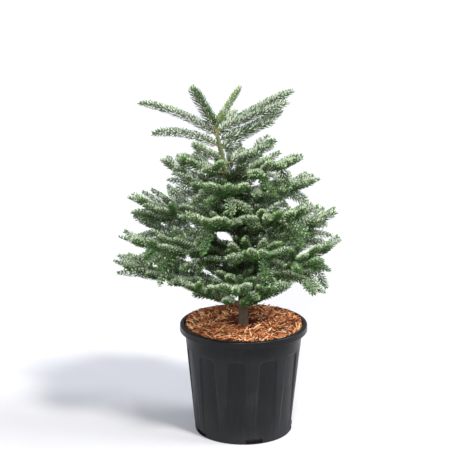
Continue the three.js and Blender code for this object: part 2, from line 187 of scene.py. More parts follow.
def onCircle(radius, angle, height):  # radius times cosine, radius times sine, and the height
    return np.stack([radius * np.cos(angle), radius * np.sin(angle), height + 0 * angle], -1)


def unit(vectors):
    return vectors / np.linalg.norm(vectors, axis=-1, keepdims=True)


def frameAt(tangent):  # side and upper directions square to a limb's direction
    steep = np.abs(tangent[..., 2:3]) > 0.98
    guide = np.where(steep, np.array([0.0, 1.0, 0.0]), upward)
    side = unit(np.cross(tangent, guide))
    return side, np.cross(side, tangent)


def tangentOf(path, share):
    step = 0.004
    return unit(path(np.minimum(share + step, 1 + step)) - path(share - step))


def framesOn(path, share):  # forward, side and upper directions at a share of a path
    forward = tangentOf(path, share)
    return (forward, *frameAt(forward))


def roundAxis(points, tangents, radius, angle):  # rings round each point, square to the axis
    side, upper = frameAt(tangents)
    outward = side[..., None, :] * np.sin(angle)[:, None] + upper[..., None, :] * np.cos(angle)[:, None]
    return points[..., None, :] + radius[..., None] * outward


def hump(offset, width):  # a bell curve of height 1
    return np.exp(-((offset / width) ** 2))


# The growth rule of the solids, in millimetres and degrees.
rule = {
    "groundLevel": 236.3,
    "forkHeight": 718,
    "trunkLean": 66,
    "trunkLeanPower": 1.8,
    "trunkSway": 5,
    "uprightShare": 0.01,
    "footRadius": 11.4,
    "forkRadius": 2.6,
    "taperPower": 0.85,
    "flareRadius": 5,
    "flareHeight": 14,
    "limbSweep": 0.05,
    "clearance": 0.3,
    "needleReach": 10,
    "annualNodes": (0.46, 0.64, 0.81),
    "lateral": {"angle": 47, "share": 0.6, "base": 15, "rise": 0.12, "lift": 0.1},
    "lateralSpread": {"angle": 7, "rise": 0.1, "size": 0.14},
    "rising": {"chance": 0.75, "forward": 0.55, "up": 0.8, "aside": 0.3, "share": 0.62, "lift": 0.05},
    "forked": {"angle": 17, "share": 0.76, "drops": ((-1, 17), (1, 24))},
    "hanging": {"limb": "low_right", "node": 0.8, "forward": 0.6, "down": 0.8, "length": 50, "lift": -0.06},
    "forwardBend": 0.16,
    "shorterShares": (1, 0.8, 0.62, 0.46),
    "shortestShoot": 26,
    "boughRootRadius": 4.6,
    "boughTipRadius": 2.4,
    "bareShare": 0.36,
}

# Boughs: name, height on the trunk, azimuth from +X, reach, rise and sag as a share of the reach.
boughTable = [
    ("low_right", 300, 10, 172, 86, -0.05),
    ("low_back", 303, 84, 196, 62, 0.04),
    ("low_left", 300, 166, 206, 66, 0.03),
    ("low_front_left", 304, 230, 190, 86, 0.03),
    ("low_front_right", 302, 292, 158, 84, 0.04),
    ("wide_right", 354, 346, 226, 113, 0.06),
    ("wide_back_right", 356, 46, 248, 74, 0.05),
    ("wide_back_left", 350, 124, 252, 66, 0.05),
    ("wide_left", 352, 189, 290, 64, 0.07),
    ("wide_front", 356, 266, 232, 50, 0.05),
    ("middle_right", 420, 12, 224, 96, 0.05),
    ("middle_back", 424, 84, 238, 72, 0.05),
    ("middle_back_left", 412, 152, 262, 68, 0.05),
    ("middle_front_left", 422, 203, 284, 68, 0.05),
    ("middle_front_right", 420, 290, 226, 60, 0.05),
    ("upper_back_right", 490, 40, 204, 84, 0.05),
    ("upper_back", 494, 112, 212, 74, 0.05),
    ("upper_left", 488, 181, 240, 66, 0.05),
    ("upper_front", 490, 250, 200, 58, 0.05),
    ("upper_front_right", 486, 326, 206, 70, 0.05),
]

# Shorter limbs: the same, then how many annual nodes branch and where the limb forks into three.
shootTable = [
    ("high_right", 560, 2, 200, 34, 0.06, 3, 0),
    ("high_back", 564, 78, 168, 66, 0.05, 2, 0),
    ("high_left", 560, 176, 154, 78, 0.04, 3, 0),
    ("high_front", 562, 262, 160, 52, 0.05, 3, 0),
    ("crest_right", 604, 344, 172, 49, 0.05, 2, 0),
    ("crest_back_right", 632, 26, 126, 41, 0.05, 2, 0),
    ("crest_back_left", 604, 130, 132, 24, 0.03, 2, 0),
    ("crest_left", 612, 206, 116, 40, 0.04, 2, 0),
    ("crest_front", 640, 205, 72, 41, 0.02, 0, 0),
    ("top_left_low", 672, 180, 148, 30, -0.1, 0, 0),
    ("top_right_low", 666, 24, 145, 72, 0.02, 0, 0),
    ("top_left", 698, 178, 170, 72, -0.07, 0, 0),
    ("top_left_steep", 707, 214, 62, 99, -0.02, 0, 0),
    ("top_right", 704, 2, 165, 91, 0, 0, 0.2),
    ("top_back", 698, 70, 118, 34, 0.02, 0, 0),
    ("leader", 718, 12, 57, 85, 0.03, 0, 0),
]

trunkSpan = rule["forkHeight"] - rule["groundLevel"]
segments = 24  # straight stretches that stand for a limb where its distance is measured
checkedShares = np.array([0.35, 0.6, 0.8, 1.0])
solidMargin = 2 * rule["needleReach"] + rule["clearance"]


def dice(*keys):  # a repeatable number from 0 to 1 for any whole numbers, by mixing their bits
    whole = 0xFFFFFFFF
    mixed = 2166136261
    for key in keys:
        mixed = ((mixed ^ (key + 977)) * 16777619) & whole
        mixed ^= mixed >> 13
    mixed = ((mixed ^ (mixed >> 16)) * 2246822507) & whole
    mixed = ((mixed ^ (mixed >> 13)) * 3266489909) & whole
    return (mixed ^ (mixed >> 16)) / (whole + 1)


def spread(reach, *keys):
    return (dice(*keys) * 2 - 1) * reach


def trunkShare(height):
    return (height - rule["groundLevel"]) / trunkSpan


def trunkHeight(share):
    return rule["groundLevel"] + trunkSpan * share


def trunkPoint(share):  # leans as a power of the height and sways as the square of a sine
    share = np.asarray(share, float)
    free = np.maximum(share - rule["uprightShare"], 0) / (1 - rule["uprightShare"])
    x = -rule["trunkLean"] * free ** rule["trunkLeanPower"]
    y = rule["trunkSway"] * np.sin(np.pi * free) ** 2
    return np.stack([x, y, trunkHeight(share)], -1)


def trunkRadius(share, angle=0.0):  # a tapering stem with a root flare of three lobes
    above = np.maximum(share, 0) * trunkSpan
    flare = rule["flareRadius"] * np.exp(-above / rule["flareHeight"]) * (1 + 0.25 * np.cos(3 * angle))
    taper = np.maximum(1 - share, 0) ** rule["taperPower"]
    return rule["forkRadius"] + (rule["footRadius"] - rule["forkRadius"]) * taper + flare


def heading(azimuth):
    return np.array([math.cos(math.radians(azimuth)), math.sin(math.radians(azimuth)), 0.0])


def limbLine(index, name, height, azimuth, reach, rise, sag, nodes, fork, bare):
    out = heading(azimuth)
    across = np.cross(upward, out)
    root = trunkPoint(min(trunkShare(height), 1.0))
    sweep = spread(rule["limbSweep"], index, 0) * reach

    def path(share):  # straight out and up, with a bow of four times share times the rest
        share = np.asarray(share, float)[..., None]
        bow = 4 * share * (1 - share)
        return root + out * reach * share + across * sweep * bow + upward * (rise * share - sag * reach * bow)

    line = {"index": index, "name": name, "nodes": nodes, "fork": fork, "bare": bare}
    samples = path(np.linspace(0, 1, segments + 1))
    return {**line, "path": path, "length": math.hypot(reach, rise), "samples": samples}


boughLines = [limbLine(index, *row, 3, 0, rule["bareShare"]) for index, row in enumerate(boughTable)]
shootLines = [limbLine(len(boughTable) + index, *row, 0.0) for index, row in enumerate(shootTable)]
limbLines = boughLines + shootLines

limbStarts = np.concatenate([line["samples"][:-1] for line in limbLines])
limbSteps = np.concatenate([np.diff(line["samples"], axis=0) for line in limbLines])
limbFirst = np.arange(len(limbLines)) * segments
trunkSamples = trunkPoint(np.linspace(0, 1, 2 * segments + 1))


def distances(starts, steps, places):  # from each place to each segment
    offset = places[:, None] - starts[None]
    along = np.clip(np.einsum("psk,sk->ps", offset, steps) / (steps**2).sum(1), 0, 1)
    return np.linalg.norm(offset - along[..., None] * steps[None], axis=2)


def staysInSpace(line, places, margin, trunkMargin):  # nearer to its own limb than to any other, by a margin
    toLimbs = np.minimum.reduceat(distances(limbStarts, limbSteps, places), limbFirst, axis=1)
    toTrunk = distances(trunkSamples[:-1], np.diff(trunkSamples, axis=0), places).min(1)
    own = toLimbs[:, line["index"]].copy()
    toLimbs[:, line["index"]] = np.inf
    return bool(np.all(toLimbs.min(1) >= own + margin) and np.all(toTrunk >= own + trunkMargin))


def shootPath(root, direction, forward, length, lift):
    def path(share):  # straight on, with a bend forward and up that grows as the square of the share
        share = np.asarray(share, float)[..., None]
        bend = forward * rule["forwardBend"] + upward * lift
        return root + direction * length * share + bend * length * share**2

    return path


# Levels: 0 a limb, 1 a side shoot, 2 a twig, 3 a twig on the stem, 4 the stem's own top.
def shootOf(path, length, level, line=None):
    return {"path": path, "length": length, "level": level, "line": line}


def fittedShoot(line, share, direction, length, lift):  # the longest that keeps clear of its neighbours
    root, forward = line["path"](share), tangentOf(line["path"], share)
    for size in (length * part for part in rule["shorterShares"] if length * part >= rule["shortestShoot"]):
        path = shootPath(root, direction, forward, size, lift)
        if staysInSpace(line, path(checkedShares), solidMargin, solidMargin):
            return shootOf(path, size, 1, line)
    return None


def turnedAside(forward, side, degrees):
    turn = math.radians(degrees)
    return forward * math.cos(turn) + side * math.sin(turn)


def nodeShares(line):  # the outermost of the annual nodes, as many as the limb has
    return rule["annualNodes"][len(rule["annualNodes"]) - line["nodes"] :]


def lateralLength(line, share):
    return rule["lateral"]["share"] * (1 - share) * line["length"] + rule["lateral"]["base"]


def lateralPair(line, share, node):
    lateral, swing, found = rule["lateral"], rule["lateralSpread"], []
    forward, side, upper = framesOn(line["path"], share)
    for hand in (-1, 1):
        keys = (line["index"], node, hand)
        angle = lateral["angle"] + spread(swing["angle"], *keys, 1)
        rise = lateral["rise"] + spread(swing["rise"], *keys, 2)
        direction = unit(turnedAside(forward, side, hand * angle) + upper * rise)
        size = lateralLength(line, share) * (1 + spread(swing["size"], *keys, 3))
        found.append(fittedShoot(line, share, direction, size, lateral["lift"]))
    return found


def risingShoot(line, share):
    rising, keys = rule["rising"], (line["index"], 0, 0)
    if dice(*keys, 1) > rising["chance"]:
        return None
    forward, side, upper = framesOn(line["path"], share)
    aside = spread(rising["aside"], *keys, 2)
    direction = unit(forward * rising["forward"] + upper * rising["up"] + side * aside)
    return fittedShoot(line, share, direction, rising["share"] * lateralLength(line, share), rising["lift"])


def forkPair(line):
    forked = rule["forked"]
    forward, side, upper = framesOn(line["path"], line["fork"])
    length = (1 - line["fork"]) * line["length"] * forked["share"]
    sides = [turnedAside(hand * side, upper, -drop) for hand, drop in forked["drops"]]
    turns = [turnedAside(forward, aside, forked["angle"]) for aside in sides]
    return [fittedShoot(line, line["fork"], turn, length, 0) for turn in turns]


def hangingShoot(line):
    hanging = rule["hanging"]
    forward = tangentOf(line["path"], hanging["node"])
    direction = unit(forward * hanging["forward"] - upward * hanging["down"])
    return fittedShoot(line, hanging["node"], direction, hanging["length"], hanging["lift"])


def sideShoots(line):
    shares = nodeShares(line)
    found = [shoot for node, share in enumerate(shares) for shoot in lateralPair(line, share, node)]
    if line["nodes"]:
        found.append(risingShoot(line, shares[0]))
    if line["fork"]:
        found += forkPair(line)
    if line["name"] == rule["hanging"]["limb"]:
        found.append(hangingShoot(line))
    return [shoot for shoot in found if shoot]


# The finer shoots: the same rule carried on to the next years' growth, each where it finds room.
finer = {
    "seed": 11,
    "margin": -18,
    "trunkMargin": -60,
    "shortest": 50,
    "attempts": 8,
    "turnSwing": (3, 4),  # for the first attempt, and more for each further one
    "riseSwing": (0.05, 0.09),
    "lift": (-0.2, 0.08),
    "shorterShares": (1, 0.8, 0.62),
    "overTip": 8,
    "withinTip": 6,
    "underEdge": {"level": 285, "slope": 0.26, "near": 0.22},
    # Seen from the front, the crown is open at these places: x, height, half width and half height.
    "windows": ((-42, 461, 19, 12), (-262, 431, 15, 9), (-122, 545, 9, 7), (102, 317, 30, 22)),
    "sightFall": 0.26,
    "spacing": {1: 18.5, 2: 17.5, 3: 12.5},  # by level
    "filledFrom": {"bough": 0.24, "limb": 0.1, "shoot": 0.2},
    "bough": {
        "size": 0.5,
        "base": 34,
        "chance": 0.7,
        "turn": 36,
        "rises": (0.8, -0.5),
        "swing": (0.85, 1.1),
        "innerShares": (0.2, 0.33, 0.55, 0.73),
        "innerSize": 0.3,
        "innerTurn": (34, 52),
        "innerRise": (0.0, 0.6),
        "innerSwing": (0.85, 1.15),
    },
    "twig": {
        "leastParent": 52,
        "longParent": 84,
        "leastTwig": 70,
        "nodes": (0.46,),
        "longNodes": (0.34, 0.64),
        "angle": 29,
        "rise": (0.1, 0.45),
        "size": 0.6,
        "base": 52,
        "swing": (0.85, 1.15),
        "extraChance": 0.5,
        "extraTurn": 20,
        "extraRises": (0.9, 0.8, -0.6),
        "extraSize": 0.7,
        "steepest": -0.5,
    },
    "stem": {
        "twigs": 300,
        "from": 0.17,
        "over": 0.57,
        "turn": 20,
        "rise": (0.1, 0.9),
        "length": (56, 110),
        "shorter": (1.25, 0.75),
        "lift": 0.1,
    },
    "fan": {"beside": "top_right_low", "height": 686, "azimuth": 12, "reach": 104, "rise": 36},
    "top": {"from": 0.72, "over": 0.26},
}
chance = np.random.default_rng(finer["seed"])

# The crown as small cells, in millimetres, with reach and edges counted in cells.
crownCells = {
    "low": (-360, -360, 200),
    "counts": (180, 180, 170),
    "size": 4.0,
    "reach": 7,
    "empty": 99.0,
    "step": 6,
    "near": (0.5, 22),  # a shoot is free of its parent from this share or this many millimetres on
    "beyond": 5,
}


class Room:  # for each small cell of the crown, how far it is from the nearest shoot that stands
    def __init__(self):
        self.clear = np.full(crownCells["counts"], crownCells["empty"], np.float32)
        steps = np.arange(-crownCells["reach"], crownCells["reach"] + 1)
        self.offsets = np.stack(np.meshgrid(steps, steps, steps, indexing="ij"), -1).reshape(-1, 3)
        self.far = np.linalg.norm(self.offsets, axis=1) * crownCells["size"]

    def cells(self, places):
        spots = np.round((places - np.array(crownCells["low"])) / crownCells["size"]).astype(int)
        edge = crownCells["reach"] + 1
        return np.clip(spots, edge, np.array(crownCells["counts"]) - edge - 1)

    def fill(self, path, first, length):
        count = max(3, int(length * (1 - first) / crownCells["step"]))
        for cell in self.cells(path(np.linspace(first, 1, count))):
            spots = tuple((cell + self.offsets).T)
            self.clear[spots] = np.minimum(self.clear[spots], self.far)

    def isFree(self, path, length, spacing):  # at the middle, further on, at the tip and just beyond it
        half, bare = crownCells["near"]
        places = path(np.array([max(half, bare / length), 0.76, 1.0, 1 + crownCells["beyond"] / length]))
        return self.clear[tuple(self.cells(places).T)].min() >= spacing


room = Room()


def staysInOutline(line, path):  # within the limb's reach and height, and above the crown's under edge
    tip, end, root, edge = path(1.0), line["path"](1.0), line["path"](0.0), finer["underEdge"]
    if math.dist(tip[:2], root[:2]) > math.dist(end[:2], root[:2]) - finer["withinTip"]:
        return False
    lowest = edge["level"] + edge["slope"] * math.hypot(*tip[:2]) - edge["near"] * min(tip[1], 0)
    return lowest <= tip[2] <= end[2] + finer["overTip"]


def leavesWindows(path):  # an open place runs from front to back along a line of sight that falls backward
    places = path(np.linspace(0.15, 1.05, 12))
    sight = places[:, 2] + finer["sightFall"] * places[:, 1]
    return all(
        (((places[:, 0] - x) / wide) ** 2 + ((sight - height) / tall) ** 2).min() > 1
        for x, height, wide, tall in finer["windows"]
    )


def finerShoot(parent, share, aside, rise, length, level):
    line, root = parent["line"], parent["path"](share)
    forward, side, upper = framesOn(parent["path"], share)
    (turnSwing, moreTurn), (riseSwing, moreRise) = finer["turnSwing"], finer["riseSwing"]
    for attempt in range(finer["attempts"]):
        turn = aside + chance.normal(0, turnSwing + moreTurn * attempt)
        lifted = rise + chance.normal(0, riseSwing + moreRise * attempt)
        lift = chance.uniform(*finer["lift"])
        direction = unit(turnedAside(forward, side, turn) + upper * lifted)
        for part in finer["shorterShares"]:
            size = length * part
            path = shootPath(root, direction, forward, size, lift)
            fits = size >= finer["shortest"] and room.isFree(path, size, finer["spacing"][level])
            fits = fits and staysInOutline(line, path) and leavesWindows(path)
            if fits and staysInSpace(line, path(checkedShares), finer["margin"], finer["trunkMargin"]):
                room.fill(path, finer["filledFrom"]["shoot"], size)
                return shootOf(path, size, level, line)
    return None


def boughShoots(limb):  # at the nodes, shoots that rise or droop, then pairs along the wood between
    line, bough, found = limb["line"], finer["bough"], []
    for share in nodeShares(line):
        length = bough["size"] * lateralLength(line, share) + bough["base"]
        for rise in bough["rises"]:
            if chance.random() < bough["chance"]:
                turn = chance.uniform(-bough["turn"], bough["turn"])
                size = length * chance.uniform(*bough["swing"])
                found.append(finerShoot(limb, share, turn, rise, size, 1))
    for share in bough["innerShares"]:
        length = bough["innerSize"] * (1 - share) * line["length"] + bough["base"]
        for hand in (-1, 1):
            turn, rise = hand * chance.uniform(*bough["innerTurn"]), chance.uniform(*bough["innerRise"])
            size = length * chance.uniform(*bough["innerSwing"])
            found.append(finerShoot(limb, share, turn, rise, size, 1))
    return [shoot for shoot in found if shoot]


def twigsOn(shoot):  # pairs at the yearly nodes of a shoot, and now and then one that rises or droops
    twig, found = finer["twig"], []
    if shoot["length"] < twig["leastParent"]:
        return found
    for share in twig["longNodes"] if shoot["length"] > twig["longParent"] else twig["nodes"]:
        length = twig["size"] * (1 - share) * shoot["length"] + twig["base"]
        for hand in (-1, 1):
            size, rise = length * chance.uniform(*twig["swing"]), chance.uniform(*twig["rise"])
            found.append(finerShoot(shoot, share, hand * twig["angle"], rise, size, 2))
        if chance.random() < twig["extraChance"]:
            rise = chance.choice(twig["extraRises"])
            turn = chance.uniform(-twig["extraTurn"], twig["extraTurn"])
            found.append(finerShoot(shoot, share, turn, rise, twig["extraSize"] * length, 2))
    keeps = tangentOf(shoot["path"], 0.5)[2] > twig["steepest"]  # a hanging shoot keeps none
    return [made for made in found if made and keeps]


def stemTwigs():  # short twigs between the whorls, round the stem by the golden angle
    stem, found = finer["stem"], []
    for number in range(stem["twigs"]):
        share = stem["from"] + stem["over"] * (number + chance.random()) / stem["twigs"]
        out = heading(number * goldenAngle + chance.uniform(-stem["turn"], stem["turn"]))
        direction = unit(out + upward * chance.uniform(*stem["rise"]))
        size = chance.uniform(*stem["length"]) * (stem["shorter"][0] - stem["shorter"][1] * share)
        path = shootPath(trunkPoint(share), direction, out, size, stem["lift"])
        if room.isFree(path, size, finer["spacing"][3]) and leavesWindows(path):
            room.fill(path, finer["filledFrom"]["shoot"], size)
            found.append(shootOf(path, size, 3))
    return found


def fanShoot():  # stands in the fan at the top right, between the forked limb and the low one
    fan = finer["fan"]
    line = next(line for line in limbLines if line["name"] == fan["beside"])
    out, length = heading(fan["azimuth"]), math.hypot(fan["reach"], fan["rise"])
    direction = unit(out * fan["reach"] + upward * fan["rise"])
    path = shootPath(trunkPoint(trunkShare(fan["height"])), direction, out, length, 0.0)
    return shootOf(path, length, 1, line)


def topShare(share):
    return finer["top"]["from"] + finer["top"]["over"] * np.asarray(share)


def stemTop():  # the stem's own needles, which lie close to it below the last whorl
    return shootOf(lambda share: trunkPoint(topShare(share)), finer["top"]["over"] * trunkSpan, 4)


def growShoots():
    limbs = [shootOf(line["path"], line["length"], 0, line) for line in limbLines]
    main = [shoot for line in limbLines for shoot in sideShoots(line)]
    for shoot in limbs + main:
        sort = "shoot" if shoot["level"] else "bough" if shoot["line"]["bare"] else "limb"
        room.fill(shoot["path"], finer["filledFrom"][sort], shoot["length"])
    main += [shoot for limb in limbs if limb["line"]["nodes"] for shoot in boughShoots(limb)]
    twigs = [twig for shoot in main if shoot["line"]["nodes"] for twig in twigsOn(shoot)]
    long = [twig for twig in twigs if twig["length"] > finer["twig"]["leastTwig"]]
    last = [twig for shoot in long for twig in twigsOn(shoot)]
    return limbs + main + twigs + last + stemTwigs() + [fanShoot(), stemTop()]


shoots = growShoots()
print("shoots:", len(shoots), "length in metres:", round(sum(shoot["length"] for shoot in shoots) / 1000, 1))

# Needles. A needle is a closed blade, pointed at its foot and blunt at its tip. The filling needles are short
# and painted dark as the shade inside the brush, and stand in a spiral; the leading needles are long and
# light and stand in ranks over them.
needle = {
    "seed": 5,
    "filling": {"length": 11.8, "width": 2.7, "pitches": (56, 60, 50), "silver": 0.1, "density": 1.6},
    "leading": {"length": 14.8, "width": 2.9, "pitches": (54, 58, 46), "silver": 1, "rank": 6.4, "across": 8},
    "thickness": 0.6,
    "crowding": 0.36,
    "steep": (0.9, 1.14),
    "closing": {"power": 1.5, "by": 0.6},
    "taper": {"from": 0.55, "by": 0.42, "closeFrom": 0.78},
    "bluntTaper": {"from": 0.68, "by": 0.3, "closeFrom": 0.88},
    "taperPower": 1.7,
    "foot": {"size": 0.75, "over": 0.12},
    "slender": {"least": 0.84, "more": 0.16, "length": 120},
    "sizes": (0.9, 1.08),
    "lean": {"silver": 1.0, "dark": 0.15, "sum": 1.15},
    "bend": {"by": 0.16, "up": 0.8, "forward": 0.3},
    # Painted shade: needles further under their shoot than the first share take darker tints, and so does
    # each needle's foot short of the second share along the shoot.
    "underside": 0.78,
    "footShadeEnds": 0.9,
    "alike": 0.94,
    "most": 190000,
}

# How many millimetres are bare at a shoot's foot, and how densely the rest is needled, for what grows singly
# and for the levels 0 to 4. A bough is bare by a share of its length.
needled = {
    "bough": (0.16, 1.1),
    "single": (6, 1.35),
    "levels": ((14, 1.15), (2.5, 1.0), (2.5, 1.0), (6, 0.8), (0, 0.75)),
}

# Tints of the upper side, from the painted shade inside the crown to the new growth, then of the silvery
# underside.
tintCodes = {
    "deep": "1c2f12",
    "dark": "40632f",
    "mid": "719b58",
    "fresh": "9cbc80",
    "lime": "a9c069",
    "mist": "bcd1a5",
    "silver": "e6eedb",
    "pale": "7b966e",
}
tints = [paint(f"needle_{name}", code, 0.42) for name, code in tintCodes.items()]
tintNumbers = {name: number for number, name in enumerate(tintCodes)}
deals = {  # how likely a spray is to take each of the six upper tints
    # The inner deal leans to the deep and dark tints, painted as the shade inside the crown.
    "inner": (0.3, 0.5, 0.2, 0.0, 0.0, 0.0),
    "blue": (0.0, 0.0, 0.25, 0.05, 0.0, 0.7),
    "green": (0.0, 0.0, 0.42, 0.3, 0.0, 0.28),
    "fresh": (0.0, 0.0, 0.2, 0.66, 0.04, 0.1),
    "olive": (0.0, 0.0, 0.5, 0.3, 0.2, 0.0),
    "lime": (0.0, 0.0, 0.0, 0.3, 0.7, 0.0),
}
silverUnder = {"inner": 0.35, "olive": 0.15, "lime": 0.4}  # share of needles with a silver underside
mostlySilver = 0.85  # for the other deals
# The darker tint for each tint, painted as shade on shaded needles and at each needle's foot.
footTints = np.array([0, 0, 1, 1, 2, 1])  # the tint at a needle's foot for each tint at its tip

# Looks: the deal, the share of needles that show their silvery side, spread and length; first the common
# ones, then those of the limbs that stand out.
looks = {
    "inner": ("inner", 0.4, 1.0, 1.0),
    "blue": ("blue", 0.75, 1.0, 1.0),
    "green": ("green", 0.65, 1.0, 1.0),
    "fresh": ("fresh", 0.5, 1.0, 1.0),
    "stem": ("olive", 0.1, 0.5, 0.62),
    "top_left": ("green", 0.5, 1.0, 1.08),
    "top_left_steep": ("olive", 0.1, 1.08, 1.38),
    "top_right": ("blue", 0.75, 1.0, 1.24),
    "top_left_low": ("green", 0.6, 1.0, 1.0),
    "top_right_low": ("blue", 0.7, 1.0, 1.4),
    "leader": ("lime", 0.3, 0.85, 0.92),
    "top_back": ("green", 0.6, 1.0, 1.0),
    "crest_front": ("fresh", 0.4, 1.0, 1.05),
    "crest_right": ("blue", 0.8, 1.0, 1.05),
    "crest_back_right": ("blue", 0.8, 1.0, 1.05),
    "high_right": ("blue", 0.85, 1.0, 1.05),
    "upper_back_right": ("blue", 0.8, 1.0, 1.0),
}
lookChances = {"innerReach": (0.3, 0.2), "blue": 0.42, "green": 0.88}


def lookOf(shoot):
    line = shoot["line"]
    if line is None:
        return looks["stem" if shoot["level"] == 4 else "inner"]
    if line["name"] in looks:
        return looks[line["name"]]
    tip, end, root = shoot["path"](1.0), line["path"](1.0), line["path"](0.0)
    reached = math.dist(tip[:2], root[:2]) / math.dist(end[:2], root[:2])
    roll, (least, more) = chance.random(), lookChances["innerReach"]
    # Painted shade: a shoot that reaches only a short way out along its limb takes the inner, darker look.
    if reached < least + more * roll:
        return looks["inner"]
    return looks[next((name for name in ("blue", "green") if roll < lookChances[name]), "fresh")]


def isSingle(shoot):
    return bool(shoot["line"]) and not shoot["line"]["nodes"]


def needledFrom(shoot):  # the share of its length from which a shoot is needled, and how densely
    if shoot["level"] == 0 and shoot["line"]["bare"]:
        return needled["bough"]
    bare, density = needled["single"] if isSingle(shoot) else needled["levels"][shoot["level"]]
    return bare / shoot["length"], density


def spiralFeet(kind, length, density, draw):
    count = max(6, int(length * kind["density"] * density))
    along = (np.arange(count) + draw.random(count) * 0.5) / count
    return along, np.radians(goldenAngle) * np.arange(count) + draw.normal(0, 0.07, count)


def rankedFeet(kind, length, density, draw):
    ranks, across = max(3, round(length / kind["rank"])), round(kind["across"] * density)
    rank = np.repeat(np.arange(ranks), across)
    along = (rank + 0.5 + draw.normal(0, 0.03, len(rank))) / ranks
    around = fullTurn * (np.tile(np.arange(across), ranks) + 0.5 * rank) / across
    around = around + draw.uniform(0, fullTurn) + draw.normal(0, 0.06, len(rank))
    return np.clip(along, 0.002, 0.998), around


def beyond(along, start):  # 0 as far as start, then evenly up to 1 at the tip
    return np.clip((along - start) / (1 - start), 0, 1)


def woodRadius(shoot, share):
    if shoot["level"] == 4:
        return trunkRadius(topShare(share))
    return 1.0 if shoot["level"] else rule["boughTipRadius"] * (1 - share) + 0.7


def needleTints(deal, along, shaded, draw):  # of the upper side, of its foot and of the underside
    count, numbers = len(along), len(footTints)
    spray, other = draw.choice(numbers, p=deals[deal]), draw.choice(numbers, count, p=deals[deal])
    upper = np.where(draw.random(count) < needle["alike"], spray, other)
    # Painted shade: shaded needles take the darker tint, and so does each needle's foot short of the shoot's
    # tip.
    upper = np.where(shaded, footTints[upper], upper)
    foot = np.where(along > needle["footShadeEnds"], upper, footTints[upper])
    plain = tintNumbers["lime" if deal == "lime" else "pale"]
    isSilver = draw.random(count) < silverUnder.get(deal, mostlySilver)
    return upper, foot, np.where(isSilver, tintNumbers["silver"], plain)


def shootNeedles(shoot, kindName, look, draw):
    kind, leading = needle[kindName], kindName == "leading"
    deal, silverShare, spreading, stretch = look
    first, density = needledFrom(shoot)
    feet = rankedFeet if leading else spiralFeet
    along, around = feet(kind, shoot["length"] * (1 - first), density, draw)
    count, share = len(along), first + (1 - first) * along
    tangent, side, upper = framesOn(shoot["path"], share)
    around = (around + np.pi) % fullTurn - np.pi
    around = around - needle["crowding"] * np.sin(around)  # fewer below, more above
    below = (1 - np.cos(around)) / 2
    # The pitch is the angle from the shoot: over it, beside it and under it. It closes over the tip's bud.
    top, aside, under = kind["pitches"]
    pitch = top + (aside - top) * np.sin(around) ** 2
    pitch = pitch + (under - pitch) * np.clip(below * 2 - 1, 0, 1)
    taper = needle["bluntTaper" if isSingle(shoot) else "taper"]
    closing = needle["closing"]["by"] * beyond(along, taper["closeFrom"]) ** needle["closing"]["power"]
    pitch = pitch * spreading * draw.uniform(*needle["steep"]) * (1 - closing)
    pitch = np.radians(pitch + draw.normal(0, 1.0, count))
    away = side * np.sin(around)[:, None] + upper * np.cos(around)[:, None]
    centre = shoot["path"](share) + away * woodRadius(shoot, share[:, None]) * 0.8
    direction = unit(tangent * np.cos(pitch)[:, None] + away * np.sin(pitch)[:, None])
    # The face looks between the shoot's axis and the sky. The nearer the axis, the more silver shows.
    toAxis = unit(tangent - direction * np.cos(pitch)[:, None])
    toSky = upward - direction * direction[:, 2:3]
    lean, bend, foot, slender = (needle[key] for key in ("lean", "bend", "foot", "slender"))
    isSilver = draw.random(count) < silverShare * kind["silver"]
    leaning = np.where(isSilver, lean["silver"], lean["dark"])[:, None]
    face = toAxis * leaning + toSky * (lean["sum"] - leaning) + draw.normal(0, 0.05, (count, 3))
    face = unit(face - direction * np.einsum("nk,nk->n", face, direction)[:, None])
    growing = foot["size"] + (1 - foot["size"]) * np.clip(along / foot["over"], 0, 1)
    envelope = growing * (1 - taper["by"] * beyond(along, taper["from"]) ** needle["taperPower"])
    whole = slender["least"] + slender["more"] * min(shoot["length"] / slender["length"], 1)
    size = kind["length"] * stretch * whole * envelope * draw.uniform(*needle["sizes"], count)
    curve = (toSky * bend["up"] + tangent * bend["forward"]) * bend["by"]
    # Painted shade: all filling needles, and the leading needles under the shoot, are marked for darker
    # tints.
    shaded = (below > needle["underside"]) | (not leading)
    return centre, direction, face, size, curve, *needleTints(deal, along, shaded, draw)


# The blade's outline as shares of its length and half width, then its ridge, raised by its thickness; and the
# faces of its upper side, which meet at the ridge, and of its flat underside.
bladeOutline = np.array([(0, 0, 0), (0.6, 1, 0), (0.98, 0.8, 0), (0.98, -0.8, 0), (0.6, -1, 0), (0.55, 0, 1)])
bladeUpper = [(1, 0, 5), (2, 1, 5), (3, 2, 5), (4, 3, 5), (0, 4, 5)]
bladeFaces = np.array(bladeUpper + [(0, 1, 4), (1, 2, 4), (2, 3, 4)])


def needleMesh(name, parts, width):
    groups = [np.concatenate(group) for group in zip(*parts)]
    centre, direction, face, size, curve, upper, foot, under = groups
    share, wide, raised = bladeOutline.T
    wide, raised = (wide * width / 2)[:, None], (raised * needle["thickness"])[:, None]
    points = centre[:, None] + direction[:, None] * (size[:, None] * share)[..., None]
    points = points + np.cross(direction, face)[:, None] * wide + face[:, None] * raised
    points = points + curve[:, None] * (size[:, None] * share**2)[..., None]
    step = (np.arange(len(centre)) * len(bladeOutline))[:, None, None]
    # Painted shade at the foot: its two upper faces take the darker foot tint, and its underside face there
    # is pale, not silver.
    plain = np.full_like(under, tintNumbers["pale"])
    tintOf = np.stack([foot, upper, upper, upper, foot, plain, under, under], 1)
    faces = (bladeFaces + step).reshape(-1, 3)
    return addMesh(name, points.reshape(-1, 3), [faces], tints, tintOf.ravel(), smooth=False)


def whorlOf(line):
    first = line["name"].split("_")[0] if line else "stem"
    return "top" if first in ("leader", "crest") else first


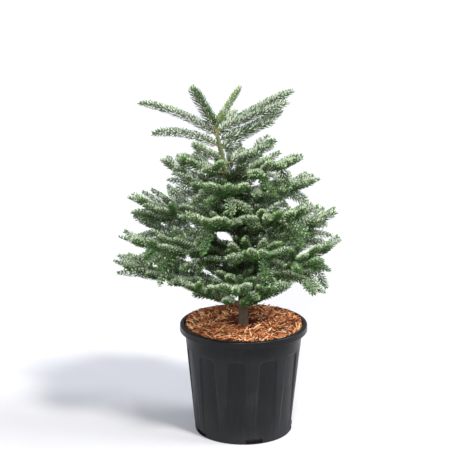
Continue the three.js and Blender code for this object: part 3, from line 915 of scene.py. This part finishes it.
def growNeedles():
    draw = np.random.default_rng(needle["seed"])
    kinds, whorls = ("leading", "filling"), {}
    for shoot in shoots:
        look = lookOf(shoot)
        sprays = [shootNeedles(shoot, kind, look, draw) for kind in kinds]
        whorls.setdefault(whorlOf(shoot["line"]), []).append(sprays)
    for whorl, sprays in whorls.items():
        nodes = [f"foliage_{line['name']}" for line in limbLines if whorlOf(line) == whorl]
        for kind, parts in zip(kinds, zip(*sprays)):
            faces = len(bladeFaces) * sum(len(part[0]) for part in parts)
            pieces = math.ceil(faces / needle["most"])
            for number in range(pieces):
                name = f"{kind}_needles_{whorl}_{number + 1}"
                piece = needleMesh(name, parts[number::pieces], needle[kind]["width"])
                settle(piece, [] if kind == "filling" or number else nodes)
            print(kind, "needles", whorl, faces, "faces in", pieces)


growNeedles()

# Bark: ripples and resin blisters on the trunk, and a swelling with two scar rings at each whorl.
bark = {
    "seed": 3,
    "rows": 420,
    "columns": 72,
    "ripple": {"waves": 9, "height": 0.26},
    "whorls": (302, 354, 420, 490, 562, 612, 636, 669, 703),
    "swelling": {"height": 1.1, "drop": 3, "width": 6},
    "scars": {4: 0.35, 6.5: 0.3},
    "scarWidth": 0.9,
    "blisters": 130,
    "blisterHeight": 0.7,
    "blisterWidth": 1.9,
}


def ripple(around, along, waves, draw):  # a sum of sines, whole waves round and free ones along
    total = 0
    for _ in range(waves):
        turns, pitch, phase = draw.integers(2, 12), draw.uniform(0.02, 0.5), draw.uniform(0, 6.28)
        total = total + np.sin(turns * around + pitch * along + phase) / waves**0.5
    return total


def barkFinish(name, young, old, low, high):  # old bark below low, young bark above high, with worn patches
    finish = Finish(name, Roughness=0.8)
    where = finish.place()
    patches = finish.noise(where, 60, 4, 0.6)
    flecks = finish.noise(finish.place((1, 1, 3.2)), 420, 3, 0.55)
    age = finish.mix(finish.part(where, 2).between(low, high), colour(old), colour(young))
    worn = finish.mix(patches.between(0.4, 0.7) * 0.5, age, colour("5b4a36"))
    finish.feed("Base Color", finish.mix(flecks.between(0.6, 0.72) * 0.45, worn, colour("b59c78")))
    finish.feed("Roughness", 0.66 + patches * 0.25)
    finish.bump(flecks, 0.0004, 0.6)
    return finish


def trunkPiece():
    draw = np.random.default_rng(bark["seed"])
    share, angle = np.linspace(0, 1, bark["rows"])[:, None], ringAngles(bark["columns"])
    height, radius = trunkHeight(share), trunkRadius(share, angle)
    waves = ripple(angle, height, bark["ripple"]["waves"], draw)
    relief = bark["ripple"]["height"] * waves * (radius / rule["footRadius"])
    swelling = bark["swelling"]
    for level in bark["whorls"]:
        swell = swelling["height"] * hump(height - level + swelling["drop"], swelling["width"])
        relief = relief + swell * (0.5 + radius / 14)
        for above, scar in bark["scars"].items():
            relief = relief + scar * hump(height - level - above, bark["scarWidth"])
    for _ in range(bark["blisters"]):
        level, spot = draw.uniform(0, 0.8), draw.uniform(0, fullTurn)
        aside = ((angle - spot + np.pi) % fullTurn - np.pi) * radius
        width = bark["blisterWidth"] * draw.uniform(0.6, 1.3)
        blister = np.exp(-((aside / (1.5 * width)) ** 2) - ((height - trunkHeight(level)) / width) ** 2)
        relief = relief + bark["blisterHeight"] * draw.uniform(0.4, 1) * blister
    share = share[:, 0]
    rings = roundAxis(trunkPoint(share), tangentOf(trunkPoint, share), radius + relief, angle)
    return addMesh("stem", *joinTubes(rings[None]), [barkFinish("stem_bark", "77683c", "43382c", 0.45, 0.66)])


settle(trunkPiece(), ["trunk"])
print("stem done")

# Limbs: from inside the trunk, with a collar there and a knot at each annual node. The radii are at the root,
# where the needles start, and at the tip.
limbWood = {
    "seed": 8,
    "rows": 90,
    "columns": 14,
    "sunk": 0.4,
    "end": 0.985,
    "leastBare": 0.12,
    "boughRadii": (rule["boughRootRadius"], 2.0),
    "limbRadii": (2.0, 1.6),
    "tipRadius": 0.9,
    "collar": 0.9,
    "collarLength": 5.0,
    "knot": 0.22,
    "knotWidth": 3,
    "ripple": {"waves": 6, "height": 0.05},
}


def limbRings(line, draw):
    length, tip = line["length"], limbWood["tipRadius"]
    start = limbWood["sunk"] * trunkRadius(trunkShare(line["path"](0.0)[2])) / length
    share, angle = np.linspace(start, limbWood["end"], limbWood["rows"]), ringAngles(limbWood["columns"])
    root, knee = limbWood["boughRadii" if line["bare"] else "limbRadii"]
    bare = max(line["bare"], limbWood["leastBare"])
    inner, outer = root + (knee - root) * share / bare, knee + (tip - knee) * (share - bare) / (1 - bare)
    outside = np.maximum(share - start, 0) * length
    radius = np.where(share < bare, inner, outer)
    radius = radius * (1 + limbWood["collar"] * np.exp(-outside / limbWood["collarLength"]))
    for node in rule["annualNodes"]:
        radius = radius * (1 + limbWood["knot"] * hump((share - node) * length, limbWood["knotWidth"]))
    waves = ripple(angle, (share * length)[:, None], limbWood["ripple"]["waves"], draw)
    radius = radius[:, None] * (1 + limbWood["ripple"]["height"] * waves)
    return roundAxis(line["path"](share), tangentOf(line["path"], share), radius, angle)


def limbPiece(name, lines, finish):
    draw = np.random.default_rng(limbWood["seed"])
    return addMesh(name, *joinTubes(np.stack([limbRings(line, draw) for line in lines])), [finish])


boughFinish = barkFinish("bough_bark", "8a8050", "6f5f45", 0.3, 0.62)
boughs = limbPiece("boughs", boughLines, boughFinish)
settle(boughs, [f"bough_{line['name']}" for line in boughLines])
settle(limbPiece("high_limbs", shootLines, boughFinish))

# Twigs: plain tapering tubes through the shoots.
twigWood = {"rows": 6, "columns": 6, "end": 0.98, "root": 1.25, "tip": 0.7}


def twigPiece():
    fine = [shoot for shoot in shoots if 0 < shoot["level"] < 4]
    share = np.linspace(0, twigWood["end"], twigWood["rows"])
    axis = np.stack([shoot["path"](share) for shoot in fine])
    tangent = np.stack([tangentOf(shoot["path"], share) for shoot in fine])
    radius = twigWood["root"] + (twigWood["tip"] - twigWood["root"]) * share
    rings = roundAxis(axis, tangent, radius[:, None], ringAngles(twigWood["columns"]))
    return addMesh("twigs", *joinTubes(rings), [paint("twig_bark", "6c6f45", 0.7, 0.3)])


settle(twigPiece())

# Buds: a blunt egg at each tip, profile of a sine along its length, with two smaller ones beside it. The old
# bud scales stay as a larger brown egg where a side shoot leaves its parent.
bud = {
    "seed": 21,
    "rows": 5,
    "columns": 6,
    "length": 3.0,
    "radius": 0.95,
    "sunk": 0.25,
    "sizes": (0.8, 1.15),
    "tip": 0.99,
    "beside": {"size": 0.72, "away": 1.2, "turn": 0.7},
    "old": {"size": 3.3, "at": 0.02},
}


def budPiece():
    draw, beside, old = np.random.default_rng(bud["seed"]), bud["beside"], bud["old"]
    tips = np.array([shoot["path"](bud["tip"]) for shoot in shoots])
    headings = np.array([tangentOf(shoot["path"], bud["tip"]) for shoot in shoots])
    sides = frameAt(headings)[0]
    joints = [shoot["path"] for shoot in shoots if shoot["level"] in (1, 2)]
    jointRoots = np.array([path(old["at"]) for path in joints])
    jointLines = np.array([tangentOf(path, old["at"]) for path in joints])
    roots = np.concatenate([tips, tips + sides * beside["away"], tips - sides * beside["away"], jointRoots])
    turned = [headings + sides * beside["turn"], headings - sides * beside["turn"]]
    lines = unit(np.concatenate([headings, *turned, jointLines]))
    counts = (len(tips), 2 * len(tips), len(joints))
    size = np.repeat((1.0, beside["size"], old["size"]), counts) * draw.uniform(*bud["sizes"], sum(counts))
    share = np.linspace(0.06, 0.94, bud["rows"])
    profile = np.sin(np.pi * share**0.8) ** 0.7
    height = size[:, None] * bud["length"] * (share - bud["sunk"])
    axis = roots[:, None] + lines[:, None] * height[..., None]
    width = (size[:, None] * bud["radius"] * profile)[..., None]
    points, faces = joinTubes(roundAxis(axis, lines[:, None], width, ringAngles(bud["columns"])))
    finishes = [paint("bud_scales", "7d7446", 0.45), paint("old_bud_scales", "866540", 0.6)]
    kinds = np.repeat((0, 0, 1), counts)
    finishOf = np.concatenate([np.repeat(kinds, len(group) // len(kinds)) for group in faces])
    return addMesh("buds", points, faces, finishes, finishOf)


settle(budPiece())
print("limbs, twigs and buds done")

# Pot: a turned shell with a folded rim, its panels pressed in between ribs that narrow downwards.
pot = {
    "height": 258,
    "rimRadius": 148,
    "mouthRadius": 138.5,
    "wallTop": 136,
    "baseRadius": 112.5,
    "wall": 3,
    "floor": 4.5,
    "rimDrop": 16,
    "panels": 11,
    "panelBottom": 14,
    "panelTop": 206,
    "recess": (1.0, 4.4),
    "edge": 6.5,
    "corner": 12,
    "ribWidth": (9, 29),
    "ribPower": 1.3,
    "firstRib": -81.5,
    "columnsPerPanel": 44,
    "rowHeight": 4.0,
    "sharpAngle": 42,
    "drains": 5,
    "drainAzimuth": -77.5,
    "drainWidth": 39,
    "drainHeight": 10,
    "drainSill": 3,
    "drainCorner": 0.09,
    "drainDepth": 15,
    "drainLip": {"outside": 1, "corner": 3, "height": 0.8, "width": 1.3},
}
neck = pot["height"] - pot["rimDrop"]  # the height at which the wall meets the rim
potSlope = (pot["wallTop"] - pot["baseRadius"]) / neck
drainMiddle = pot["drainSill"] + pot["drainHeight"] / 2


def filleted(corners, steps=5):  # a polyline whose corners (x, y, radius) are rounded by arcs
    spots, radii = np.array(corners, float)[:, :2], [corner[2] for corner in corners]
    points = [spots[0]]
    for before, spot, after, radius in zip(spots, spots[1:], spots[2:], radii[1:]):
        back, ahead = unit(before - spot), unit(after - spot)
        half = math.acos(np.clip(back @ ahead, -1, 1)) / 2
        if radius == 0 or half > math.pi / 2 - 0.02:
            points.append(spot)
            continue
        shortest = min(np.linalg.norm(before - spot), np.linalg.norm(after - spot))
        reach = min(radius / math.tan(half), 0.45 * shortest)
        centre = spot + unit(back + ahead) * reach / math.cos(half)
        arm, goal = spot + back * reach - centre, spot + ahead * reach - centre
        turn = math.atan2(arm[0] * goal[1] - arm[1] * goal[0], arm @ goal)
        for share in np.linspace(0, 1, steps + 1):
            c, s = math.cos(turn * share), math.sin(turn * share)
            points.append(centre + np.array([c * arm[0] - s * arm[1], s * arm[0] + c * arm[1]]))
    points.append(spots[-1])
    return np.array(points)


def wallRadius(height):
    return pot["baseRadius"] + (pot["wallTop"] - pot["baseRadius"]) * height / neck


def thinned(profile, longest):  # the same polyline with the long stretches that rise divided
    pieces = [profile[:1]]
    for start, end in zip(profile, profile[1:]):
        count = max(1, math.ceil((end[1] - start[1]) / longest))
        pieces.append(start + (end - start) * (np.arange(1, count + 1) / count)[:, None])
    return np.concatenate(pieces)


def roundedBox(x, y, halfWidth, halfHeight, corner):  # signed distance to a box with round corners
    dx, dy = np.abs(x) - halfWidth + corner, np.abs(y) - halfHeight + corner
    return np.hypot(np.maximum(dx, 0), np.maximum(dy, 0)) + np.minimum(np.maximum(dx, dy), 0) - corner


def smooth(value):
    value = np.clip(value, 0, 1)
    return value * value * (3 - 2 * value)


def angleFrom(angle, start, count):  # angle from the nearest of count equal places
    pitch = fullTurn / count
    return (angle - np.radians(start) + pitch / 2) % pitch - pitch / 2


def potProfile():  # radius, height and rounding of each corner, from under the base over the rim to the floor
    base, wall, top, lip = pot["baseRadius"], pot["wall"], pot["height"], pot["wall"] + 0.2
    outer, inner = pot["rimRadius"], pot["mouthRadius"]
    under = [(2, 0, 0), (base - 14, 0, 1), (base - 11, 1.6, 2), (base - 6, 1.6, 2), (base - 4, 0, 1)]
    outside = [(base, 0, 2.2), (pot["wallTop"], neck, 3), (inner + wall, top - lip, 3)]
    fold = [(outer - lip, top - lip, 1.4), (outer - lip, neck + 0.4, 0.8), (outer - 0.2, neck, 1.2)]
    rim = [(outer - 0.8, top, 3.4), (inner, top, 2.2), (pot["wallTop"] - wall, neck, 4)]
    inside = [(wallRadius(pot["floor"]) - wall, pot["floor"], 4), (2, pot["floor"], 0)]
    return thinned(filleted(under + outside + fold + rim + inside), pot["rowHeight"])


def potPiece():
    profile = potProfile()
    angle = np.radians(pot["firstRib"]) + ringAngles(pot["panels"] * pot["columnsPerPanel"])
    radius, height = profile[:, :1], profile[:, 1:]
    rises = np.gradient(profile[:, 1])[:, None] > 0
    onWall = (np.abs(radius - wallRadius(height)) < 2.6) & rises & (height < neck)
    halfPanel = np.pi / pot["panels"]
    arc = (halfPanel - np.abs(angleFrom(angle, pot["firstRib"], pot["panels"]))) * radius
    bottom, top, (shallow, deep), (narrow, broad) = (
        pot[key] for key in ("panelBottom", "panelTop", "recess", "ribWidth")
    )
    up = np.clip((height - bottom) / (top - bottom), 0, 1)
    half = halfPanel * radius - (narrow + (broad - narrow) * up ** pot["ribPower"]) / 2
    panel = roundedBox(arc, height - (bottom + top) / 2, half, (top - bottom) / 2, pot["corner"])
    pressed = (shallow + (deep - shallow) * up) * smooth(-panel / pot["edge"])
    lip = pot["drainLip"]
    slotAside = angleFrom(angle, pot["drainAzimuth"], pot["drains"]) * pot["baseRadius"]
    halves = (pot["drainWidth"] / 2 + lip["outside"], pot["drainHeight"] / 2 + lip["outside"])
    fromSlot = np.abs(roundedBox(slotAside, height - drainMiddle, *halves, lip["corner"]))
    radius = radius + onWall * (lip["height"] * hump(fromSlot, lip["width"]) - pressed)
    return addMesh("nursery_pot", *joinTubes(onCircle(radius, angle, height)[None]), [potFinish()])


def drainCutter():  # round-cornered boxes that stand across the wall
    corner = pot["drainCorner"]
    corners = [(x, y, corner) for x, y in ((0.5, -0.5), (0.5, 0.5), (-0.5, 0.5), (-0.5, -0.5))]
    outline = filleted([(0, -0.5, 0), *corners, (0, -0.5, 0)])[:-1]
    outline = outline * (pot["drainWidth"], pot["drainHeight"]) + (0, drainMiddle)
    radii = np.array([pot["baseRadius"] - pot["drainDepth"], pot["baseRadius"] + pot["drainDepth"]])
    rings = []
    for number in range(pot["drains"]):
        out = heading(pot["drainAzimuth"] + 360 * number / pot["drains"])
        flat = outline[:, :1] * np.cross(upward, out) + outline[:, 1:] * upward
        rings.append(radii[:, None, None] * out + flat)
    return addMesh("drain_cutter", *joinTubes(np.array(rings)), [])


def cutDrains(shell, cutter):
    cut = shell.modifiers.new("drains", "BOOLEAN")
    cut.operation, cut.solver, cut.object = "DIFFERENCE", "EXACT", cutter
    bpy.context.view_layer.update()
    made = bpy.data.meshes.new_from_object(shell.evaluated_get(bpy.context.evaluated_depsgraph_get()))
    shell.modifiers.clear()
    shell.data = made
    bpy.data.objects.remove(cutter)


# Black plastic, in metres: the ribs up to the band under the rim are lighter, partly real scuffs and dust and
# partly a painted sheen, and the foot is dusty.
plastic = {
    "shade": "0b0c0e",
    "plain": "141518",
    # the light grey of dust and scuffs, also painted on the ribs as a sheen
    "dustAndSheen": "303133",
    "ribToPanel": (0.0002, 0.0042),
    "foot": (0.0, 0.05),
    "band": (0.2, 0.225),
}


def potFinish():
    finish = Finish("nursery_plastic", Specular_IOR_Level=0.2)
    where = finish.place()
    x, y, height = (finish.part(where, axis) for axis in range(3))
    sunk = height * potSlope + pot["baseRadius"] * millimetre - (x * x + y * y) ** 0.5
    proud = 1 - sunk.between(*plastic["ribToPanel"])
    cloud = finish.noise(where, 14, 5, 0.6)
    streak = finish.noise(finish.place((1, 1, 0.12)), 95, 4, 0.6)
    grain = finish.noise(where, 900, 2, 0.5)
    # Cloudy dust, heavier on the ribs, and dust at the foot; the ribs below the band are made lighter still,
    # partly scuffs and partly a painted sheen.
    dustAndSheen = cloud.between(0.45, 0.75) * (0.15 + proud * 0.35) + (1 - height.between(*plastic["foot"])) * 0.35
    dustAndSheen = dustAndSheen + proud * (1 - height.between(*plastic["band"])) * 0.35
    plain = finish.mix(streak.between(0.35, 0.7) * 0.5, colour(plastic["shade"]), colour(plastic["plain"]))
    finish.feed("Base Color", finish.mix(dustAndSheen * (0.25 + streak * 0.5), plain, colour(plastic["dustAndSheen"])))
    finish.feed("Roughness", 0.26 + dustAndSheen * 0.3 + streak * 0.12)
    finish.bump(grain + streak * 0.6, 0.00012, 0.5)
    return finish


shell = potPiece()
cutDrains(shell, drainCutter())
shell.data.polygons.foreach_set("use_smooth", np.full(len(shell.data.polygons), True))
shell.data.set_sharp_from_angle(angle=math.radians(pot["sharpAngle"]))
settle(shell, ["pot"])
print("pot done:", len(shell.data.polygons), "faces")


# Painted shade: the darker colour lies where the noise that raises the crumbs is low, in the gaps between
# them.
def crumbFinish(name, scale, dark, light, depth, strength):  # loose crumbs, dark in the gaps between them
    finish = Finish(name, Roughness=0.95)
    crumbs = finish.noise(finish.place(), scale, 5, 0.7)
    finish.feed("Base Color", finish.mix(crumbs.between(0.4, 0.65), colour(dark), colour(light)))
    finish.bump(crumbs, depth, strength)
    return finish


# Growing soil: the solid stays, with the look of dark compost.
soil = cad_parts["growing_soil"]
soil.data.materials.clear()
soil.data.materials.append(crumbFinish("compost", 260, "140f0c", "30221a", 0.002, 0.8).material)

# Mulch: a heaped bed, and loose bark chips that lie on it in layers.
mulch = {
    "seed": 17,
    "level": 253.5,
    "bottom": 236.3,
    "mound": 6,
    "relief": {"height": 1.6, "pitch": (17, 13)},
    "hollow": 19,
    "dip": {"depth": 16, "width": 0.15},
    "gap": 1.2,
    "rings": 60,
    "columns": 200,
    "crumbs": 0.5,
}


def innerRadius(height):
    rise = np.maximum(height - neck, 0) / (pot["rimDrop"] - 2)
    flare = (pot["mouthRadius"] - pot["wallTop"] + pot["wall"]) * rise
    return np.minimum(wallRadius(height), pot["wallTop"]) + flare - pot["wall"] - mulch["gap"]


def bedHeight(x, y):  # heaped between the hollow at the stem and the rim, with a gentle swell
    hollow, relief, dip = mulch["hollow"], mulch["relief"], mulch["dip"]
    share = np.clip((np.hypot(x, y) - hollow) / (innerRadius(mulch["level"]) - hollow), 0, 1)
    heap = mulch["mound"] * np.sin(np.pi * share) ** 0.7
    swell = relief["height"] * np.sin(x / relief["pitch"][0]) * np.cos(y / relief["pitch"][1])
    return mulch["level"] + heap - dip["depth"] * hump(share, dip["width"]) + swell


def bedPiece():
    hollow, bottom, columns = mulch["hollow"], mulch["bottom"], mulch["columns"]
    span = np.concatenate([[hollow], np.linspace(hollow + 1, innerRadius(mulch["level"]), mulch["rings"])])
    angle = ringAngles(columns)
    x, y = span[:, None] * np.cos(angle), span[:, None] * np.sin(angle)
    crumbs = np.random.default_rng(mulch["seed"]).normal(0, mulch["crumbs"], x.shape)
    under = [onCircle(radius, angle, bottom) for radius in (innerRadius(bottom), hollow)]
    rings = np.concatenate([np.stack([x, y, bedHeight(x, y) + crumbs], -1), under])
    row, column = np.meshgrid(np.arange(len(rings)), np.arange(columns), indexing="ij")
    base, after, below = row * columns, (column + 1) % columns, (row + 1) % len(rings) * columns
    quads = np.stack([base + column, below + column, below + after, base + after], -1)
    # The bed is darker than the chips, as painted shade in the gaps between them.
    finish = crumbFinish("mulch_shade", 180, "2a150c", "7a4122", 0.003, 1.0)
    return addMesh("mulch_bed", rings.reshape(-1, 3), [quads.reshape(-1, 4)], [finish])


# A chip is a split sliver: four cross-sections of four corners, pinched and twisted at the ends.
chip = {
    "count": 4600,
    "length": (9, 28),
    "width": (1.5, 4.2),
    "thickness": (0.6, 1.6),
    "tilt": 12,
    "rollToTilt": 1.4,
    "layer": 4.2,
    "margin": 3,
    "stations": (-0.5, -0.12, 0.25, 0.5),
    "corners": ((-0.5, -0.5), (0.5, -0.5), (0.5, 0.5), (-0.5, 0.5)),
    "rootTaper": (0.25, 0.9),
    "bodyTaper": (0.75, 1),
    "tipTaper": (0.1, 0.6),
    "bow": 0.05,
    "skew": 0.35,
    # chips near the hollow take the darkest colour, painted as the shade round the stem
    "stemShade": {"chance": 1.1, "width": 24},  # round the stem
}


# Each colour of the chips with its share; the first is also the one painted as shade round the stem.
chipColours = {"4a2212": 0.2, "844829": 0.24, "b87044": 0.22, "d8945f": 0.17, "e9b785": 0.11, "f4d8b0": 0.06}


def chipPiece():
    draw, count = np.random.default_rng(mulch["seed"] + 1), chip["count"]
    length = draw.uniform(*chip["length"], count)
    width = draw.uniform(*chip["width"], count) * (0.6 + 0.4 * length / chip["length"][1])
    thick = draw.uniform(*chip["thickness"], count)
    reach, inner = innerRadius(mulch["level"]) - 1, mulch["hollow"] + chip["margin"]
    away = np.sqrt(draw.uniform((inner / reach) ** 2, 1, count)) * reach
    azimuth, turn = draw.uniform(0, fullTurn, count), draw.uniform(0, fullTurn, count)
    tilt = np.radians(draw.normal(0, chip["tilt"], count))
    roll = np.radians(draw.normal(0, chip["tilt"] * chip["rollToTilt"], count))
    along = onCircle(np.cos(tilt), turn, np.sin(tilt))
    flat = np.stack([-np.sin(turn), np.cos(turn), np.zeros(count)], -1)
    across = flat * np.cos(roll)[:, None] + np.cross(along, flat) * np.sin(roll)[:, None]
    above = np.cross(along, across)
    out = onCircle(1, azimuth, 0)
    half = 0.5 * length * np.abs(np.einsum("nk,nk->n", along, out)) + 0.5 * width
    away = np.clip(away, inner + half, reach - half)
    centre = out * away[:, None]
    layer = draw.random(count) * chip["layer"]
    raised = 0.5 * length * np.abs(np.sin(tilt)) * 0.7
    centre[:, 2] = bedHeight(centre[:, 0], centre[:, 1]) + layer + raised
    stations, corners = np.array(chip["stations"]), np.array(chip["corners"])
    root, body, tip = (draw.uniform(*chip[part], count) for part in ("rootTaper", "bodyTaper", "tipTaper"))
    taper = np.stack([root, np.ones(count), body, tip], 1)
    bow = draw.normal(0, chip["bow"], count)[:, None] * length[:, None] * (1 - 4 * stations**2)
    skew = draw.uniform(-chip["skew"], chip["skew"], (count, len(stations), len(corners))) * 0.5
    length, width, thick = (size[:, None, None] for size in (length, width, thick))
    spanX = (corners[:, 0] + 0 * skew) * width * taper[..., None] + skew * width * 0.5
    spanY = stations[:, None] * length + skew * 2.2
    spanZ = corners[:, 1] * thick * (0.5 + 0.5 * taper[..., None]) + bow[..., None]
    rings = centre[:, None, None]
    for direction, span in ((along, spanY), (across, spanX), (above, spanZ)):
        rings = rings + direction[:, None, None] * span[..., None]
    tint = draw.choice(len(chipColours), count, p=list(chipColours.values()))
    # Painted shade: chips near the hollow round the stem take the darkest colour.
    isStemShaded = draw.random(count) < chip["stemShade"]["chance"] * hump(away - inner, chip["stemShade"]["width"])
    tint = np.where(isStemShaded, 0, tint)
    finishes = [paint(f"chip_{number}", code, 0.75, 0.3) for number, code in enumerate(chipColours)]
    points, faces = joinTubes(rings)
    finishOf = np.concatenate([np.repeat(tint, len(group) // count) for group in faces])
    return addMesh("bark_chips", points, faces, finishes, finishOf, smooth=False)


settle(bedPiece(), ["bark_mulch"])
settle(chipPiece())
print("mulch done")

# Stage: a pale floor that runs back past the horizon, and soft light.
stage = {
    "floorRadius": 30.0,
    "floor": "dcdde2",
    "sky": "f1f4fa",
    "skyStrength": 0.4,
    "suns": [  # name, where it shines from, width in degrees, strength, colour
        ("key", (0.9, -1.0, 1.7), 10, 2.5, "fffaf2"),
        ("front", (-0.2, -1.6, 0.75), 12, 1.7, "fafbff"),
        ("side", (1.6, -0.1, 1.0), 30, 2.2, "fafbff"),
        ("board", (-1.8, -0.3, 0.4), 30, 0.8, "fafbff"),
    ],
}


def buildStage():
    rim = onCircle(1, ringAngles(96), 0) * stage["floorRadius"] / millimetre
    finish = paint("floor_paint", stage["floor"], 0.8, 0.1)
    addMesh("floor", rim, [np.arange(len(rim))[None]], [finish])
    world = bpy.data.worlds.new("sky")
    bpy.context.scene.world = world
    world.use_nodes = True
    backdrop = world.node_tree.nodes["Background"]
    backdrop.inputs["Color"].default_value = colour(stage["sky"])
    backdrop.inputs["Strength"].default_value = stage["skyStrength"]
    for name, source, width, strength, tone in stage["suns"]:
        data = bpy.data.lights.new(name, "SUN")
        data.angle, data.energy, data.color = math.radians(width), strength, colour(tone)[:3]
        lamp = bpy.data.objects.new(name, data)
        lamp.location = source
        x, y, z = source
        lamp.rotation_euler = (math.acos(z / math.hypot(x, y, z)), 0, math.atan2(y, x) + math.pi / 2)
        bpy.context.scene.collection.objects.link(lamp)
    bpy.context.scene.view_settings.view_transform = "Standard"


buildStage()
print("stage done")
